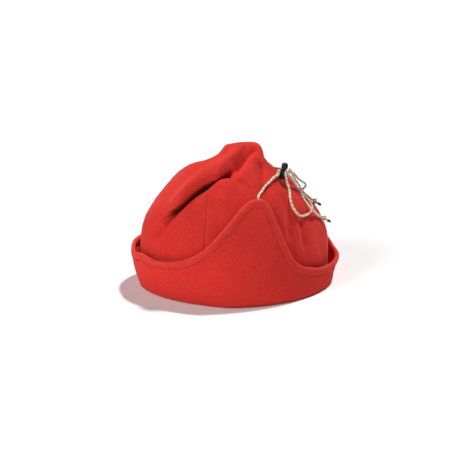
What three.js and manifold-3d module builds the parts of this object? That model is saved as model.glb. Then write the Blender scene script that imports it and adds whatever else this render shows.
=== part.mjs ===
// A fleece beanie standing on a table: a tall crown of four sewn panels, slumped over in one deep
// fold, a brim turned up all round into a cuff that rises to an ear flap on each side, a rolled hem
// along the cuff's edge, and an elastic cord from each flap's tip to one cord lock behind the peak.
// Millimetres, +Z up. The front of the hat is -Y, the wearer's left is +X. The origin is on the
// table, under the middle of the cloth.
import * as THREE from 'three';
import { mergeVertices } from 'three/addons/utils/BufferGeometryUtils.js';
import Module from 'manifold-3d';

const wasm = await Module();
wasm.setup();
const { Manifold, Mesh: SolidMesh } = wasm;

// ---------------------------------------------------------------------------------------------
// Driving dimensions
// ---------------------------------------------------------------------------------------------
const DEG = Math.PI / 180;
const UP = new THREE.Vector3(0, 0, 1);
const GAP = 0.3; // between pieces that touch
const DOME = { halfWidth: 84, halfLength: 104, height: 143, centreY: -2.26, poleBack: 12 };
const FULLNESS = { mean: 2.38, front: 0.07 }; // exponent of the dome's section, more at the front
// Towards the table the front of the base pulls in, and comes to a rounded point
const FRONT_TUCK = { share: 0.05, height: 24, point: 0.34 };
const CLOTH = 2.6; // crown wall
const CROWN_EDGE = 14; // height of the crown's lower edge, where the turned-up cuff takes over
const TOP_HOLE = 2.5; // the panels stop this far from the top
const TOP_FLAT = { from: 8, to: 28 }; // near the top the cloth's thickness is measured straight down
const SEAM_HALF_GAP = 0.25;

const CUFF = {
  cloth: 3.0, innerOut: -1.3, innerTop: 13.4, foldHeight: 4.375, foldDrop: 3.1,
  stand: 4.6, flarePower: 1.3, flareFront: 5.5, flareBack: 10.5, flapIn: 0.5, pressed: 0.45,
};
const HEM = { halfWidth: 4.1, halfThickness: 2.9, centre: 3.15, cuffEdge: 7.9, squareness: 0.8 };
const FAR_LIFT = 12; // the rim stands this much higher at the far back quarter

// Seams between the crown's panels: angle round the crown from +X at the crease, and how far each
// leans round below it
const SEAMS = {
  frontLeft: { angle: -41.5, lean: 10.5 }, backLeft: { angle: 32, lean: 0 },
  backRight: { angle: 148, lean: 0 }, frontRight: { angle: 221.5, lean: -10.5 },
};
const SEAM_LEAN_ROW = 0.22; // share of the way down over which a seam takes up most of its lean

// Grid of the cloth: rows close in on the crease, where the form turns most
const ROWS = { below: 9, above: 10, power: 1.6 };
const PANEL_COLUMNS = { left: 15, back: 15, right: 10, front: 21 };
const CUFF_COLUMNS = 64;
const CUFF_ROWS = { inner: 1, fold: 4, outer: 5 };
const HEM_SIDES = 8;

const CORD = { diameter: 2.6, sides: 8, step: 5.5 };
const KNOT = { radius: 3.3, flatness: 0.8 };
const TIP = { neckRadius: 1.1, neck: 1.6, radius: 1.5, length: 4.4 };
const LOCK = {
  angle: 46.8, height: 122.6, seat: 4.4,
  lean: new THREE.Vector3(0.12, 0.13, 1), through: new THREE.Vector3(0.32, 0.95, 0),
  barrelRadius: 4, barrelHeight: 10.2, boreRadius: 2.8, floor: 1, edge: 0.8,
  slotWidth: 3.2, slotLow: 3.4, slotHigh: 9.2, lowPort: 4.8, highPort: 7.85,
  stemRadius: 2.5, stemLow: 3, capRadius: 3.6, capLow: 12.2, capHeight: 14.7, capEdge: 0.4,
  approach: 2.4, // a cord runs straight this far outside the slot
};

const COLOURS = { fleece: 0xd63a2f, hem: 0xd84036, cord: 0xeadcc4, tip: 0x2b2826, plastic: 0x141416 };

// ---------------------------------------------------------------------------------------------
// Tables of the form, one row for each section or fold
// ---------------------------------------------------------------------------------------------
const columns = (names, rows) =>
  Object.fromEntries(names.map((name, i) => [name, rows.map((row) => row[i])]));

// Height of the crown's fold line round the hat, and how far the fold is formed there
const CREASE = columns(['angle', 'height'], [
  [-180, 112], [-130, 98], [-105, 84], [-88, 74], [-80, 74], [-74, 76.6], [-68, 83.7], [-61, 98.4],
  [-54, 111.6], [-46, 123.5], [-38, 129.7], [-30, 132.5], [-22, 133], [-12, 133.2], [0, 132],
  [30, 128], [90, 120], [180, 112],
]);
const FOLD = columns(['angle', 'strength'], [
  [-180, 0], [-90, 0], [-80, 0], [-74, 0.06], [-68, 0.28], [-62, 0.7], [-54, 1], [-32, 1],
  [-26, 0.8], [-21, 0.48], [-16, 0.18], [-11, 0.03], [-6, 0], [2, 0], [180, 0],
]);
// The roll above the crease: where cloth from `from` mm above it lies, along the dome and out of it
const ROLL = columns(['from', 'along', 'out'], [
  [0, 0, -16], [5, -5, -13], [9, -9, -8], [13, -11.3, -1.5], [16, -11, 3.2], [20, -7, 8],
  [25, 0.5, 10.8], [30, 7.5, 11.5], [38, 18, 10.5], [50, 36, 6.5], [62, 55, 2], [75, 75, 0],
]);
const ROLL_FIXED = 30; // beyond this the roll's tail is squeezed to fade before the crown's top
// The sheet below the crease, tucked under the roll's lip
const TUCK = columns(['from', 'out'], [
  [0, -16], [6, -16.3], [12, -14], [15.5, -8.5], [17, -4], [18.5, -0.6], [21.5, 1.4], [29, 2],
  [45, 0.8], [60, 0],
]);
// Towards the end of the fold the sheet's bend is tighter than in the table by this share
const FOLD_GATHER = { more: 1.2, from: [-40, -20], until: [-10, 0] };
// Height of the cuff's rim, from the front (-90) over an ear flap to the back (90)
const RIM = columns(['angle', 'height'], [
  [-90, 39.5], [-78, 43.5], [-66, 43], [-54, 44], [-42, 49], [-32, 59], [-22, 76], [-12, 95],
  [-4, 105.5], [3, 108.5], [9, 107.5], [13, 101], [18, 71], [23, 48.5], [29, 38], [38, 31.5],
  [48, 27.5], [66, 27], [80, 27.7], [90, 28.3],
]);
// Dents and ridges of the crown: a path over it, half width on the path's left and right, height
// out of the crown, how steep the sides are, and the shares of the path over which the form fades
// in and after which it fades out
const FORMS = [
  { path: [[39, -13, 132], [34, -7.5, 136], [28.5, -1.5, 140], [23.5, 4, 144.5], [18.5, 9.5, 149],
    [14.5, 14.5, 152], [11, 20, 153]],
    left: 7, right: 3, out: -7.5, steep: 1.3, fadeIn: 0.3, fadeOut: 0.92 }, // valley past the fold
  { path: [[48, -10, 126], [42, -4, 131], [36, 2, 136], [31, 7.5, 139.5], [26, 13, 144], [21, 18, 148]],
    left: 4.5, right: 10, out: 3, steep: 2, fadeIn: 0.15, fadeOut: 0.9 }, // ridge beside the valley
  { path: [[62, -34, 100], [50, -24, 122], [46, -12, 126]],
    left: 9, right: 9, out: 2.5, steep: 2, fadeIn: 0.4, fadeOut: 0.9 }, // lower sheet, full there
  { path: [[24, 23, 144], [33, 21, 136], [45, 19.5, 127], [53, 17, 119], [60, 15, 108]],
    left: 3.5, right: 5, out: -4.5, steep: 1.6, fadeIn: 0.2, fadeOut: 0.7 }, // hollow under the peak
  { path: [[-40, -62, 118], [0, -66, 122], [36, -56, 122]],
    left: 26, right: 26, out: -4, steep: 2, fadeIn: 0.2, fadeOut: 0.8 }, // slack front shoulder
  { path: [[-55, -22, 118], [-25, -27, 134], [2, -27, 138]],
    left: 15, right: 15, out: -4.5, steep: 2, fadeIn: 0.1, fadeOut: 0.8 }, // slack far side
  { path: [[-50, -86, 62], [0, -104, 62], [50, -86, 62]],
    left: 30, right: 30, out: 4, steep: 2, fadeIn: 0.3, fadeOut: 0.7 }, // full front
  { path: [[50, 44, 126], [34, 58, 124], [10, 66, 124], [-20, 66, 124], [-44, 50, 124]],
    left: 24, right: 24, out: -6, steep: 2, fadeIn: 0.15, fadeOut: 0.85 }, // slack back shoulder
  { path: [[-20, 44, 143], [8, 42, 144], [25, 36, 141]],
    left: 12, right: 12, out: -8.5, steep: 2, fadeIn: 0.2, fadeOut: 0.8 }, // step behind the peak
  { path: [[47.9, 38.5, 114.6], [57, 40, 100.9], [64.7, 42.6, 82.4], [71.3, 42.1, 60.7]],
    left: 6, right: 4.5, out: -2.4, steep: 2, fadeIn: 0.2, fadeOut: 0.8 }, // fore fold of the back left
  { path: [[51, 57, 95], [56.4, 57.6, 82.5], [66, 58.3, 48.5]],
    left: 5, right: 4, out: -2.2, steep: 2, fadeIn: 0.3, fadeOut: 0.8 }, // hind fold of the back left
  { path: [[46, 62, 102], [24, 75, 102], [0, 80, 102], [-24, 75, 102], [-46, 62, 102]],
    left: 13, right: 17, out: -6, steep: 2, fadeIn: 0.25, fadeOut: 0.8 }, // the back's slope
  { path: [[24, 44, 134], [-5, 53, 128], [-34, 46, 126]],
    left: 9, right: 9, out: -2.5, steep: 2, fadeIn: 0.2, fadeOut: 0.8 },
  { path: [[24, -84, 78], [16, -92, 66], [14, -96, 50]],
    left: 10, right: 10, out: -2, steep: 2, fadeIn: 0.1, fadeOut: 0.5 }, // soft hollow at the front
  { path: [[-50, 88, 55], [0, 100, 55], [50, 88, 55]],
    left: 22, right: 22, out: 3.5, steep: 2, fadeIn: 0.2, fadeOut: 0.8 }, // full back
];
// The pinched peak, a block with rounded sides. Its front is a ramp on the wearer's left.
const PEAK = {
  x: 2, y: 9.3, halfWidth: 21, halfLength: 22.5, rise: 13, tilt: 0.12, sidePower: 3, endPower: 14,
  ramp: { halfLength: 30, power: 2.5, from: 0, to: 16 },
};
const LENGTH_LEAN = 0.02; // the top stands this much lower at the back than at the front

// Cord routes over the crown: angle, height of the place on the plain dome, and the cord's height
// off the cloth. The ends at the lock are worked out from the lock.
const LEFT_FLAP_ROUTE = [
  [5.8, 110.9, 4.6], [7.6, 113.4, 3.2], [11.4, 116.7, 2.2], [18.5, 120.4, 2.3],
  [24, 123.2, 2.3], [31, 125.8, 2.8], [36.5, 126.4, 4.6],
];
const LEFT_END_ROUTE = [
  [57, 121.1, 7.4], [59.5, 117.6, 5.6], [66, 113.2, 2.4], [73, 108.4, 1.9], [74.5, 101.6, 1.9],
  [71.5, 95.7, 1.9], [67, 91, 1.9], [61.5, 88.1, 1.9], [53, 86.9, 1.9], [45.5, 86.6, 1.9],
  [40, 87.9, 2.4], [36, 92.1, 2.2], [35, 98, 1.9], [36, 105.6, 2.3], [41, 113.3, 3],
  [42.3, 120.7, 6], [40.5, 123, 8.5], [39.4, 124.6, 10.5], [39.3, 125.2, 12.4],
  [40.4, 125.5, 14.4], [42.7, 126, 15.6], [52.3, 127.5, 15.5], [54.6, 127.7, 14.2],
  [58, 125, 11.6], [61, 121.9, 9.2], [63, 116.9, 7], [63.4, 111.7, 6.2], [64.4, 105.8, 3.6],
  [60.5, 99.7, 2.2], [55.5, 94.5, 3], [52, 90.1, 5.4], [56, 85.9, 5], [62, 81, 2.4],
  [66.4, 77, 2.2],
];
const LEFT_KNOT = [69, 73, 3.4];
const LEFT_TIP = [71, 67.9, 6.4];
const RIGHT_FLAP_ROUTE = [
  [174.2, 110.9, 4.6], [172, 113.4, 3.2], [168, 116, 2.2], [160, 118.5, 1.9], [148, 120.3, 1.9],
  [134, 121, 2.2], [121.5, 122.2, 2.8], [106, 124.4, 2.8], [92, 126.6, 2.4], [78, 128.4, 2.2],
  [64, 129, 3], [54.4, 129.3, 5.6], [51.7, 130.2, 5.4], [46.4, 130.4, 5],
];
const RIGHT_END_ROUTE = [
  [58, 126.6, 8], [66, 125.4, 8.6], [71.5, 122.6, 8.6], [74, 118.9, 7.6], [76, 115.7, 7.4],
  [77, 113.4, 8.4], [77, 111.3, 10.2], [78, 108.4, 9.8], [79.4, 106.4, 7.2], [80.6, 106.2, 4.8],
  [83, 104.6, 3.2], [85.6, 99.6, 2], [85, 94.4, 1.9], [82.6, 91, 2.2],
];
const RIGHT_KNOT = [79, 88.6, 3.4];
const RIGHT_TIP = [75, 85.2, 6];

// ---------------------------------------------------------------------------------------------
// Small helpers
// ---------------------------------------------------------------------------------------------
const clamp = (x, low, high) => Math.min(high, Math.max(low, x));
const smooth = (a, b, x) => {
  const t = clamp((x - a) / (b - a), 0, 1);
  return t * t * (3 - 2 * t);
};
const signedPower = (x, power) => Math.sign(x) * Math.abs(x) ** power;
const span = (from, to, count) =>
  Array.from({ length: count + 1 }, (_, i) => from + ((to - from) * i) / count);

function segmentOf(xs, x) {
  let i = 0;
  while (i < xs.length - 2 && x >= xs[i + 1]) i += 1;
  return i;
}

function straight(xs, ys, x) {
  const i = segmentOf(xs, x);
  return ys[i] + (ys[i + 1] - ys[i]) * clamp((x - xs[i]) / (xs[i + 1] - xs[i]), 0, 1);
}

// A smooth curve through the rows of a table, level at both ends
function curved(xs, ys, x) {
  const slope = (k) =>
    k === 0 || k === xs.length - 1 ? 0 : (ys[k + 1] - ys[k - 1]) / (xs[k + 1] - xs[k - 1]);
  const at = clamp(x, xs[0], xs[xs.length - 1]);
  const i = segmentOf(xs, at);
  const h = xs[i + 1] - xs[i];
  const t = (at - xs[i]) / h;
  const t2 = t * t;
  const t3 = t2 * t;
  return (2 * t3 - 3 * t2 + 1) * ys[i] + (t3 - 2 * t2 + t) * h * slope(i)
    + (3 * t2 - 2 * t3) * ys[i + 1] + (t3 - t2) * h * slope(i + 1);
}

// ---------------------------------------------------------------------------------------------
// The plain dome: a point and its outward normal at an angle and a distance up from the table
// ---------------------------------------------------------------------------------------------
const MERIDIAN = meridian(600);
const TOP = MERIDIAN.arc[MERIDIAN.arc.length - 1];

function meridian(steps) {
  const radius = (DOME.halfWidth + DOME.halfLength) / 2;
  const turn = span(0, Math.PI / 2, steps);
  const out = turn.map((a) => radius * Math.max(Math.cos(a), 0) ** (2 / FULLNESS.mean));
  const height = turn.map((a) => DOME.height * Math.sin(a) ** (2 / FULLNESS.mean));
  const arc = [0];
  for (let i = 1; i <= steps; i += 1) {
    arc.push(arc[i - 1] + Math.hypot(out[i] - out[i - 1], height[i] - height[i - 1]));
  }
  return { turn, height, arc };
}

const arcAt = (height) => straight(MERIDIAN.height, MERIDIAN.arc, height);
const fullness = (angle) => FULLNESS.mean - FULLNESS.front * Math.sin(angle);

function dome(angle, arc) {
  const turn = straight(MERIDIAN.arc, MERIDIAN.turn, clamp(arc, 0, TOP));
  const n = fullness(angle);
  const rho = Math.max(Math.cos(turn), 0) ** (2 / n);
  const low = clamp(1 - arc / FRONT_TUCK.height, 0, 1) ** 2;
  const tuck = 1 - FRONT_TUCK.share * low * smooth(0.2, 1, -Math.sin(angle));
  const power = 2 / (2 - FRONT_TUCK.point * low * smooth(0.1, 0.6, -Math.sin(angle)));
  const back = DOME.poleBack * (1 - smooth(0, 0.55, rho));
  const x = DOME.halfWidth * rho * signedPower(Math.cos(angle), power) * tuck;
  const y = (DOME.halfLength * rho * signedPower(Math.sin(angle), power) + back) * tuck;
  const u = x / DOME.halfWidth;
  const v = y / DOME.halfLength;
  const reach = Math.hypot(u, v);
  const nHere = fullness(Math.atan2(v, u));
  const onSection = DOME.height * Math.max(1 - Math.min(reach, 1) ** nHere, 0) ** (1 / nHere);
  const byTurn = DOME.height * Math.sin(turn) ** (2 / n);
  const z = byTurn + (onSection - byTurn) * (1 - smooth(0.45, 0.6, rho));
  const normal = new THREE.Vector3(
    (reach ** (nHere - 2) * u) / DOME.halfWidth,
    (reach ** (nHere - 2) * v) / DOME.halfLength,
    (Math.max(z, 0.001) / DOME.height) ** (nHere - 1) / DOME.height,
  ).normalize();
  return { point: new THREE.Vector3(x, y, z), normal };
}

// ---------------------------------------------------------------------------------------------
// The crown's cloth
// ---------------------------------------------------------------------------------------------
// Distance from a point to a path over the crown, with most of what lies along the normal left
// out, whether the point is on the path's left, and how far along it the nearest place is
const NORMAL_SHARE = 0.88;
function toPath(point, normal, path) {
  const ends = path.map((p) => new THREE.Vector3(...p));
  const lengths = ends.slice(1).map((p, i) => p.distanceTo(ends[i]));
  const total = lengths.reduce((a, b) => a + b);
  let best = { distance: Infinity, share: 0 };
  let before = 0;
  lengths.forEach((length, i) => {
    const along = ends[i + 1].clone().sub(ends[i]);
    const t = clamp(point.clone().sub(ends[i]).dot(along) / along.lengthSq(), 0, 1);
    const off = point.clone().sub(ends[i]).addScaledVector(along, -t);
    const distance = Math.sqrt(Math.max(off.lengthSq() - NORMAL_SHARE * off.dot(normal) ** 2, 0));
    if (distance < best.distance) {
      const onLeft = along.cross(off).dot(normal) >= 0;
      best = { distance, onLeft, share: (before + t * length) / total };
    }
    before += length;
  });
  return best;
}

function formsAt(point, normal) {
  let out = 0;
  for (const form of FORMS) {
    const { distance, onLeft, share } = toPath(point, normal, form.path);
    const off = distance / (onLeft ? form.left : form.right);
    const fade = smooth(0, form.fadeIn, share) * (1 - smooth(form.fadeOut, 1, share));
    out += form.out * Math.exp(-(off ** form.steep)) * fade;
  }
  return out;
}

// How far the peak rises over the dome at a point
function peakAt({ x, y }) {
  const { ramp } = PEAK;
  const ahead = y - PEAK.y;
  const aside = (Math.abs(x - PEAK.x) / PEAK.halfWidth) ** PEAK.sidePower;
  const square = (Math.abs(ahead) / PEAK.halfLength) ** PEAK.endPower;
  const sloped = (Math.abs(ahead) / ramp.halfLength) ** ramp.power;
  const end = ahead < 0 ? square + (sloped - square) * smooth(ramp.from, ramp.to, x) : square;
  return (PEAK.rise + PEAK.tilt * ahead) * Math.exp(-aside - end);
}

// How much tighter than in its table the tucked sheet bends
function gathered(degrees) {
  const { more, from, until } = FOLD_GATHER;
  return 1 + more * smooth(...from, degrees) * (1 - smooth(...until, degrees));
}

// Cloth at a distance from the crease, above it (up) or below it (down)
function cloth(angle, distance, side) {
  const degrees = wrap(angle / DEG);
  const strength = clamp(curved(FOLD.angle, FOLD.strength, degrees), 0, 1);
  const crease = creaseArc(degrees);
  let arc;
  let out;
  if (side === 'up') {
    const room = TOP - crease;
    const last = ROLL.from[ROLL.from.length - 1];
    const squeezed = room < last && distance > ROLL_FIXED
      ? ROLL_FIXED + ((distance - ROLL_FIXED) * (last - ROLL_FIXED)) / (room - ROLL_FIXED)
      : distance;
    const shift = curved(ROLL.from, ROLL.along.map((a, i) => a - ROLL.from[i]), squeezed) * strength;
    arc = crease + distance + shift;
    out = curved(ROLL.from, ROLL.out, squeezed) * strength;
  } else {
    arc = crease - distance;
    out = curved(TUCK.from, TUCK.out, distance * gathered(degrees)) * strength;
  }
  const { point, normal } = dome(angle, clamp(arc, 0, TOP));
  point.z += peakAt(point);
  const place = point.clone().addScaledVector(normal, out + formsAt(point, normal));
  place.z *= 1 - (LENGTH_LEAN * place.y) / DOME.halfLength;
  return place;
}

const wrap = (degrees) => ((((degrees + 180) % 360) + 360) % 360) - 180;
const creaseArc = (degrees) => arcAt(curved(CREASE.angle, CREASE.height, wrap(degrees)));

// A row runs from -1, the crown's lower edge, over 0, the crease, to 1, the top. Its distance from
// the crease, and where it lies on the plain dome:
function rowReach(angle, row) {
  const crease = creaseArc(angle / DEG);
  const reach = row < 0 ? crease - arcAt(CROWN_EDGE) : TOP - TOP_HOLE - crease;
  return reach * Math.abs(row) ** ROWS.power;
}

const rowArc = (angle, row) => creaseArc(angle / DEG) + Math.sign(row) * rowReach(angle, row);
const crownPoint = (angle, row) => cloth(angle, rowReach(angle, row), row < 0 ? 'down' : 'up');

// Direction of the cloth's thickness
function crownNormal(angle, row) {
  const turn = 0.4 * DEG;
  const step = 0.012;
  const round = crownPoint(angle + turn, row).sub(crownPoint(angle - turn, row));
  const up = crownPoint(angle, Math.min(row + step, 1)).sub(crownPoint(angle, Math.max(row - step, -1)));
  const level = 1 - smooth(TOP_FLAT.from, TOP_FLAT.to, TOP - rowArc(angle, row));
  return round.cross(up).normalize().lerp(UP, level).normalize();
}

// Width of the plain dome for each radian round it
function widthAt(angle, row) {
  const arc = rowArc(angle, row);
  return dome(angle + DEG, arc).point.distanceTo(dome(angle - DEG, arc).point) / (2 * DEG);
}

// Where a cord lies: a place on the crown by angle and plain height, and a height off the cloth
function onCrown([degrees, height, lift]) {
  const angle = degrees * DEG;
  const at = (a, arc) => {
    const fromCrease = arc - creaseArc(a / DEG);
    return cloth(a, Math.abs(fromCrease), fromCrease < 0 ? 'down' : 'up');
  };
  const arc = arcAt(height);
  const round = at(angle + DEG, arc).sub(at(angle - DEG, arc));
  const up = at(angle, arc + 1).sub(at(angle, arc - 1));
  return at(angle, arc).addScaledVector(round.cross(up).normalize(), lift);
}

// ---------------------------------------------------------------------------------------------
// The turned-up cuff and its hem
// ---------------------------------------------------------------------------------------------
// Both sides of the hat share one table: an angle on the right is read as its mirror on the left
const earAngle = (degrees) => (Math.abs(degrees) <= 90 ? degrees : Math.sign(degrees) * 180 - degrees);

function rimArc(degrees) {
  const at = wrap(degrees);
  const lift = FAR_LIFT * smooth(88, 116, at) * (1 - smooth(118, 150, at));
  return arcAt(curved(RIM.angle, RIM.height, earAngle(at)) + lift);
}

// How far the cuff's middle layer stands off the dome
function cuffOut(degrees, arc) {
  const ear = earAngle(wrap(degrees));
  const side = Math.sin(ear * DEG);
  const flare = (side < 0 ? CUFF.flareFront : CUFF.flareBack) * smooth(0.4, 1, side * side);
  const up = clamp((arc - 6) / 30, 0, 1);
  const flap = Math.exp(-(((ear - 4) / 30) ** 2));
  return CUFF.stand + flare * up ** CUFF.flarePower - CUFF.flapIn * flap * smooth(20, 100, arc);
}

function offDome(degrees, arc, out) {
  const { point, normal } = dome(degrees * DEG, arc);
  return point.addScaledVector(normal, out);
}

// A place at a distance below the rim, measured square to the rim along the cuff
function belowRim(degrees, distance) {
  const turn = 0.5;
  const arc = rimArc(degrees);
  const here = (d) => offDome(d, arc, cuffOut(d, arc));
  const width = here(degrees + turn).distanceTo(here(degrees - turn)) / (2 * turn);
  const slope = (rimArc(degrees + turn) - rimArc(degrees - turn)) / (2 * turn) / width;
  const cosine = 1 / Math.hypot(1, slope);
  return { degrees: degrees + (distance * slope * cosine) / width, arc: arc - distance * cosine };
}

// Middle layer of the cuff along one column: inner edge, fold at the table, then up to the hem
function cuffColumn(degrees) {
  const rows = [];
  for (const height of span(CUFF.innerTop, 5, CUFF_ROWS.inner)) {
    rows.push(offDome(degrees, arcAt(height), CUFF.innerOut));
  }
  const outer = cuffOut(degrees, 0);
  for (let i = 1; i <= CUFF_ROWS.fold; i += 1) {
    const a = (Math.PI * i) / (CUFF_ROWS.fold + 1);
    const out = (outer + CUFF.innerOut) / 2 - ((outer - CUFF.innerOut) / 2) * Math.cos(a);
    rows.push(offDome(degrees, CUFF.foldHeight - CUFF.foldDrop * Math.sin(a), out));
  }
  const edge = belowRim(degrees, HEM.cuffEdge);
  for (const share of span(0, 1, CUFF_ROWS.outer)) {
    const at = degrees + (edge.degrees - degrees) * share ** 1.5;
    const arc = CUFF.foldHeight + (edge.arc - CUFF.foldHeight) * share;
    rows.push(offDome(at, arc, cuffOut(at, arc)));
  }
  return rows;
}

// One section of the hem, a flattened round band along the rim
function hemSection(degrees) {
  const place = (d) => {
    const { degrees: at, arc } = belowRim(d, HEM.centre);
    return { point: offDome(at, arc, cuffOut(at, arc)), at, arc };
  };
  const { point, at, arc } = place(degrees);
  const along = place(degrees + 1).point.sub(place(degrees - 1).point).normalize();
  const up = offDome(at, arc + 1, cuffOut(at, arc + 1)).sub(point);
  const out = along.clone().cross(up).normalize();
  const across = out.clone().cross(along);
  return Array.from({ length: HEM_SIDES }, (_, i) => {
    const a = (2 * Math.PI * i) / HEM_SIDES;
    return point.clone()
      .addScaledVector(out, HEM.halfThickness * signedPower(Math.cos(a), HEM.squareness))
      .addScaledVector(across, HEM.halfWidth * signedPower(Math.sin(a), HEM.squareness));
  });
}

// ---------------------------------------------------------------------------------------------
// Making meshes
// ---------------------------------------------------------------------------------------------
// Faces between the rings of a grid: grid[i][j], rings closed in j, and in i too if asked
function closedGrid(grid, closedAlong) {
  const rings = grid.length;
  const sides = grid[0].length;
  const positions = grid.flat().flatMap((p) => [p.x, p.y, p.z]);
  const faces = [];
  for (let i = 0; i < (closedAlong ? rings : rings - 1); i += 1) {
    for (let j = 0; j < sides; j += 1) {
      const a = i * sides + j;
      const b = i * sides + ((j + 1) % sides);
      const c = ((i + 1) % rings) * sides + ((j + 1) % sides);
      const d = ((i + 1) % rings) * sides + j;
      faces.push(a, c, b, a, d, c);
    }
  }
  if (!closedAlong) {
    // the ends are strips: the first half of a section faces its second half
    for (const [ring, flip] of [[0, false], [rings - 1, true]]) {
      for (let j = 0; j < sides / 2 - 1; j += 1) {
        const a = ring * sides + j;
        const b = a + 1;
        const d = ring * sides + (sides - 1 - j);
        const c = d - 1;
        faces.push(...(flip ? [a, c, b, a, d, c] : [a, b, c, a, c, d]));
      }
    }
  }
  const geometry = new THREE.BufferGeometry();
  geometry.setAttribute('position', new THREE.Float32BufferAttribute(positions, 3));
  geometry.setIndex(faces);
  return geometry;
}

// A crown panel between two seams: for each column its outer cloth from bottom to top, then its
// inner cloth back down. Below the crease a column leans as the seams on its two sides do.
function panelGeometry(start, end, count) {
  const rows = [
    ...span(-1, 0, ROWS.below).slice(0, -1),
    ...span(0, 1, ROWS.above),
  ];
  const grid = span(0, 1, count).map((across, column) => {
    const trim = column === 0 ? SEAM_HALF_GAP : column === count ? -SEAM_HALF_GAP : 0;
    const degrees = start.angle + (end.angle - start.angle) * across;
    const lean = start.lean + (end.lean - start.lean) * across;
    const section = rows.map((row) => {
      const below = Math.max(-row, 0) ** ROWS.power;
      const plain = (degrees + lean * (1 - Math.exp(-below / SEAM_LEAN_ROW))) * DEG;
      const angle = plain + trim / widthAt(plain, row);
      const outer = crownPoint(angle, row);
      return { outer, inner: outer.clone().addScaledVector(crownNormal(angle, row), -CLOTH) };
    });
    return [...section.map((p) => p.outer), ...section.map((p) => p.inner).reverse()];
  });
  return closedGrid(grid, false);
}

function cuffGeometry() {
  const angles = span(-180, 180, CUFF_COLUMNS).slice(0, -1);
  const middle = angles.map(cuffColumn);
  const press = (p) => (p.z < CUFF.pressed ? p.setZ(0) : p);
  const grid = middle.map((column, i) => {
    const before = middle[(i + CUFF_COLUMNS - 1) % CUFF_COLUMNS];
    const after = middle[(i + 1) % CUFF_COLUMNS];
    const normals = column.map((_, k) => {
      const along = column[Math.min(k + 1, column.length - 1)].clone().sub(column[Math.max(k - 1, 0)]);
      return after[k].clone().sub(before[k]).cross(along).normalize();
    });
    const skin = (half) => column.map((p, k) => press(p.clone().addScaledVector(normals[k], half)));
    return [...skin(CUFF.cloth / 2), ...skin(-CUFF.cloth / 2).reverse()];
  });
  return closedGrid(grid, true);
}

function hemGeometry() {
  return closedGrid(span(-180, 180, CUFF_COLUMNS).slice(0, -1).map(hemSection), true);
}

function solidOf(geometry) {
  const bare = geometry.clone();
  bare.deleteAttribute('normal');
  bare.deleteAttribute('uv');
  const merged = mergeVertices(bare, 0.0001);
  return new Manifold(new SolidMesh({
    numProp: 3,
    vertProperties: new Float32Array(merged.attributes.position.array),
    triVerts: new Uint32Array(merged.index.array),
  }));
}

function geometryOf(solid) {
  const mesh = solid.getMesh();
  const geometry = new THREE.BufferGeometry();
  geometry.setAttribute('position', new THREE.BufferAttribute(new Float32Array(mesh.vertProperties), 3));
  geometry.setIndex(new THREE.BufferAttribute(new Uint32Array(mesh.triVerts), 1));
  return geometry;
}

const turned = (profile, sides) =>
  new THREE.LatheGeometry(profile.map(([r, y]) => new THREE.Vector2(r, y)), sides);

// ---------------------------------------------------------------------------------------------
// Cord lock: a barrel with a slot for the cords, and a sprung plunger with a domed button.
// Both are made upright along +Y of their own frame, with the slot along +X.
// ---------------------------------------------------------------------------------------------
const lockFoot = () => onCrown([LOCK.angle, LOCK.height, 0]);

function lockFrame() {
  const axis = LOCK.lean.clone().normalize();
  const through = LOCK.through.clone().addScaledVector(axis, -LOCK.through.dot(axis)).normalize();
  const side = through.clone().cross(axis);
  const matrix = new THREE.Matrix4().makeBasis(through, axis, side);
  return matrix.setPosition(lockFoot().addScaledVector(axis, LOCK.seat));
}

// A point beside the barrel, at a height on it, where a cord goes in or comes out
function lockPort(direction, height, clear) {
  const x = direction * (LOCK.barrelRadius + clear);
  return new THREE.Vector3(x, height, 0).applyMatrix4(lockFrame());
}

function slot(width, low, high) {
  const box = new THREE.BoxGeometry(LOCK.barrelRadius * 3, high - low, width);
  return solidOf(box.translate(0, (low + high) / 2, 0));
}

function barrelGeometry() {
  const { barrelRadius: r, barrelHeight: h, boreRadius: bore, floor, edge } = LOCK;
  const body = turned([
    [0, 0], [r - edge, 0], [r, edge], [r, h - edge], [r - edge, h], [bore, h], [bore, floor], [0, floor],
  ], 20);
  return geometryOf(solidOf(body).subtract(slot(LOCK.slotWidth, LOCK.slotLow, LOCK.slotHigh)));
}

function plungerGeometry() {
  const { stemRadius: stem, stemLow, capRadius: cap, capLow, capHeight, capEdge } = LOCK;
  const top = span(0, Math.PI / 2, 6).map((a) => [cap * Math.cos(a), capHeight + cap * Math.sin(a)]);
  top[top.length - 1][0] = 0;
  const body = turned([
    [0, stemLow], [stem, stemLow], [stem, capLow], [cap - capEdge, capLow], [cap, capLow + capEdge], ...top,
  ], 20);
  const opening = slot(LOCK.slotWidth - 0.2, stemLow - 1, LOCK.slotHigh + 2.3);
  return geometryOf(solidOf(body).subtract(opening));
}

// ---------------------------------------------------------------------------------------------
// Cords
// ---------------------------------------------------------------------------------------------
function cordGeometry(points) {
  const curve = new THREE.CatmullRomCurve3(points, false, 'centripetal');
  const section = new THREE.Shape(Array.from({ length: CORD.sides }, (_, i) => {
    const a = (2 * Math.PI * i) / CORD.sides;
    return new THREE.Vector2(Math.cos(a), Math.sin(a)).multiplyScalar(CORD.diameter / 2);
  }));
  const steps = Math.round(curve.getLength() / CORD.step);
  return new THREE.ExtrudeGeometry(section, { extrudePath: curve, steps });
}

function knotMesh(name, place) {
  const mesh = part(name, new THREE.IcosahedronGeometry(KNOT.radius, 1), 'cord');
  mesh.scale.set(1, 1, KNOT.flatness);
  mesh.position.copy(onCrown(place));
  return mesh;
}

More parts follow.
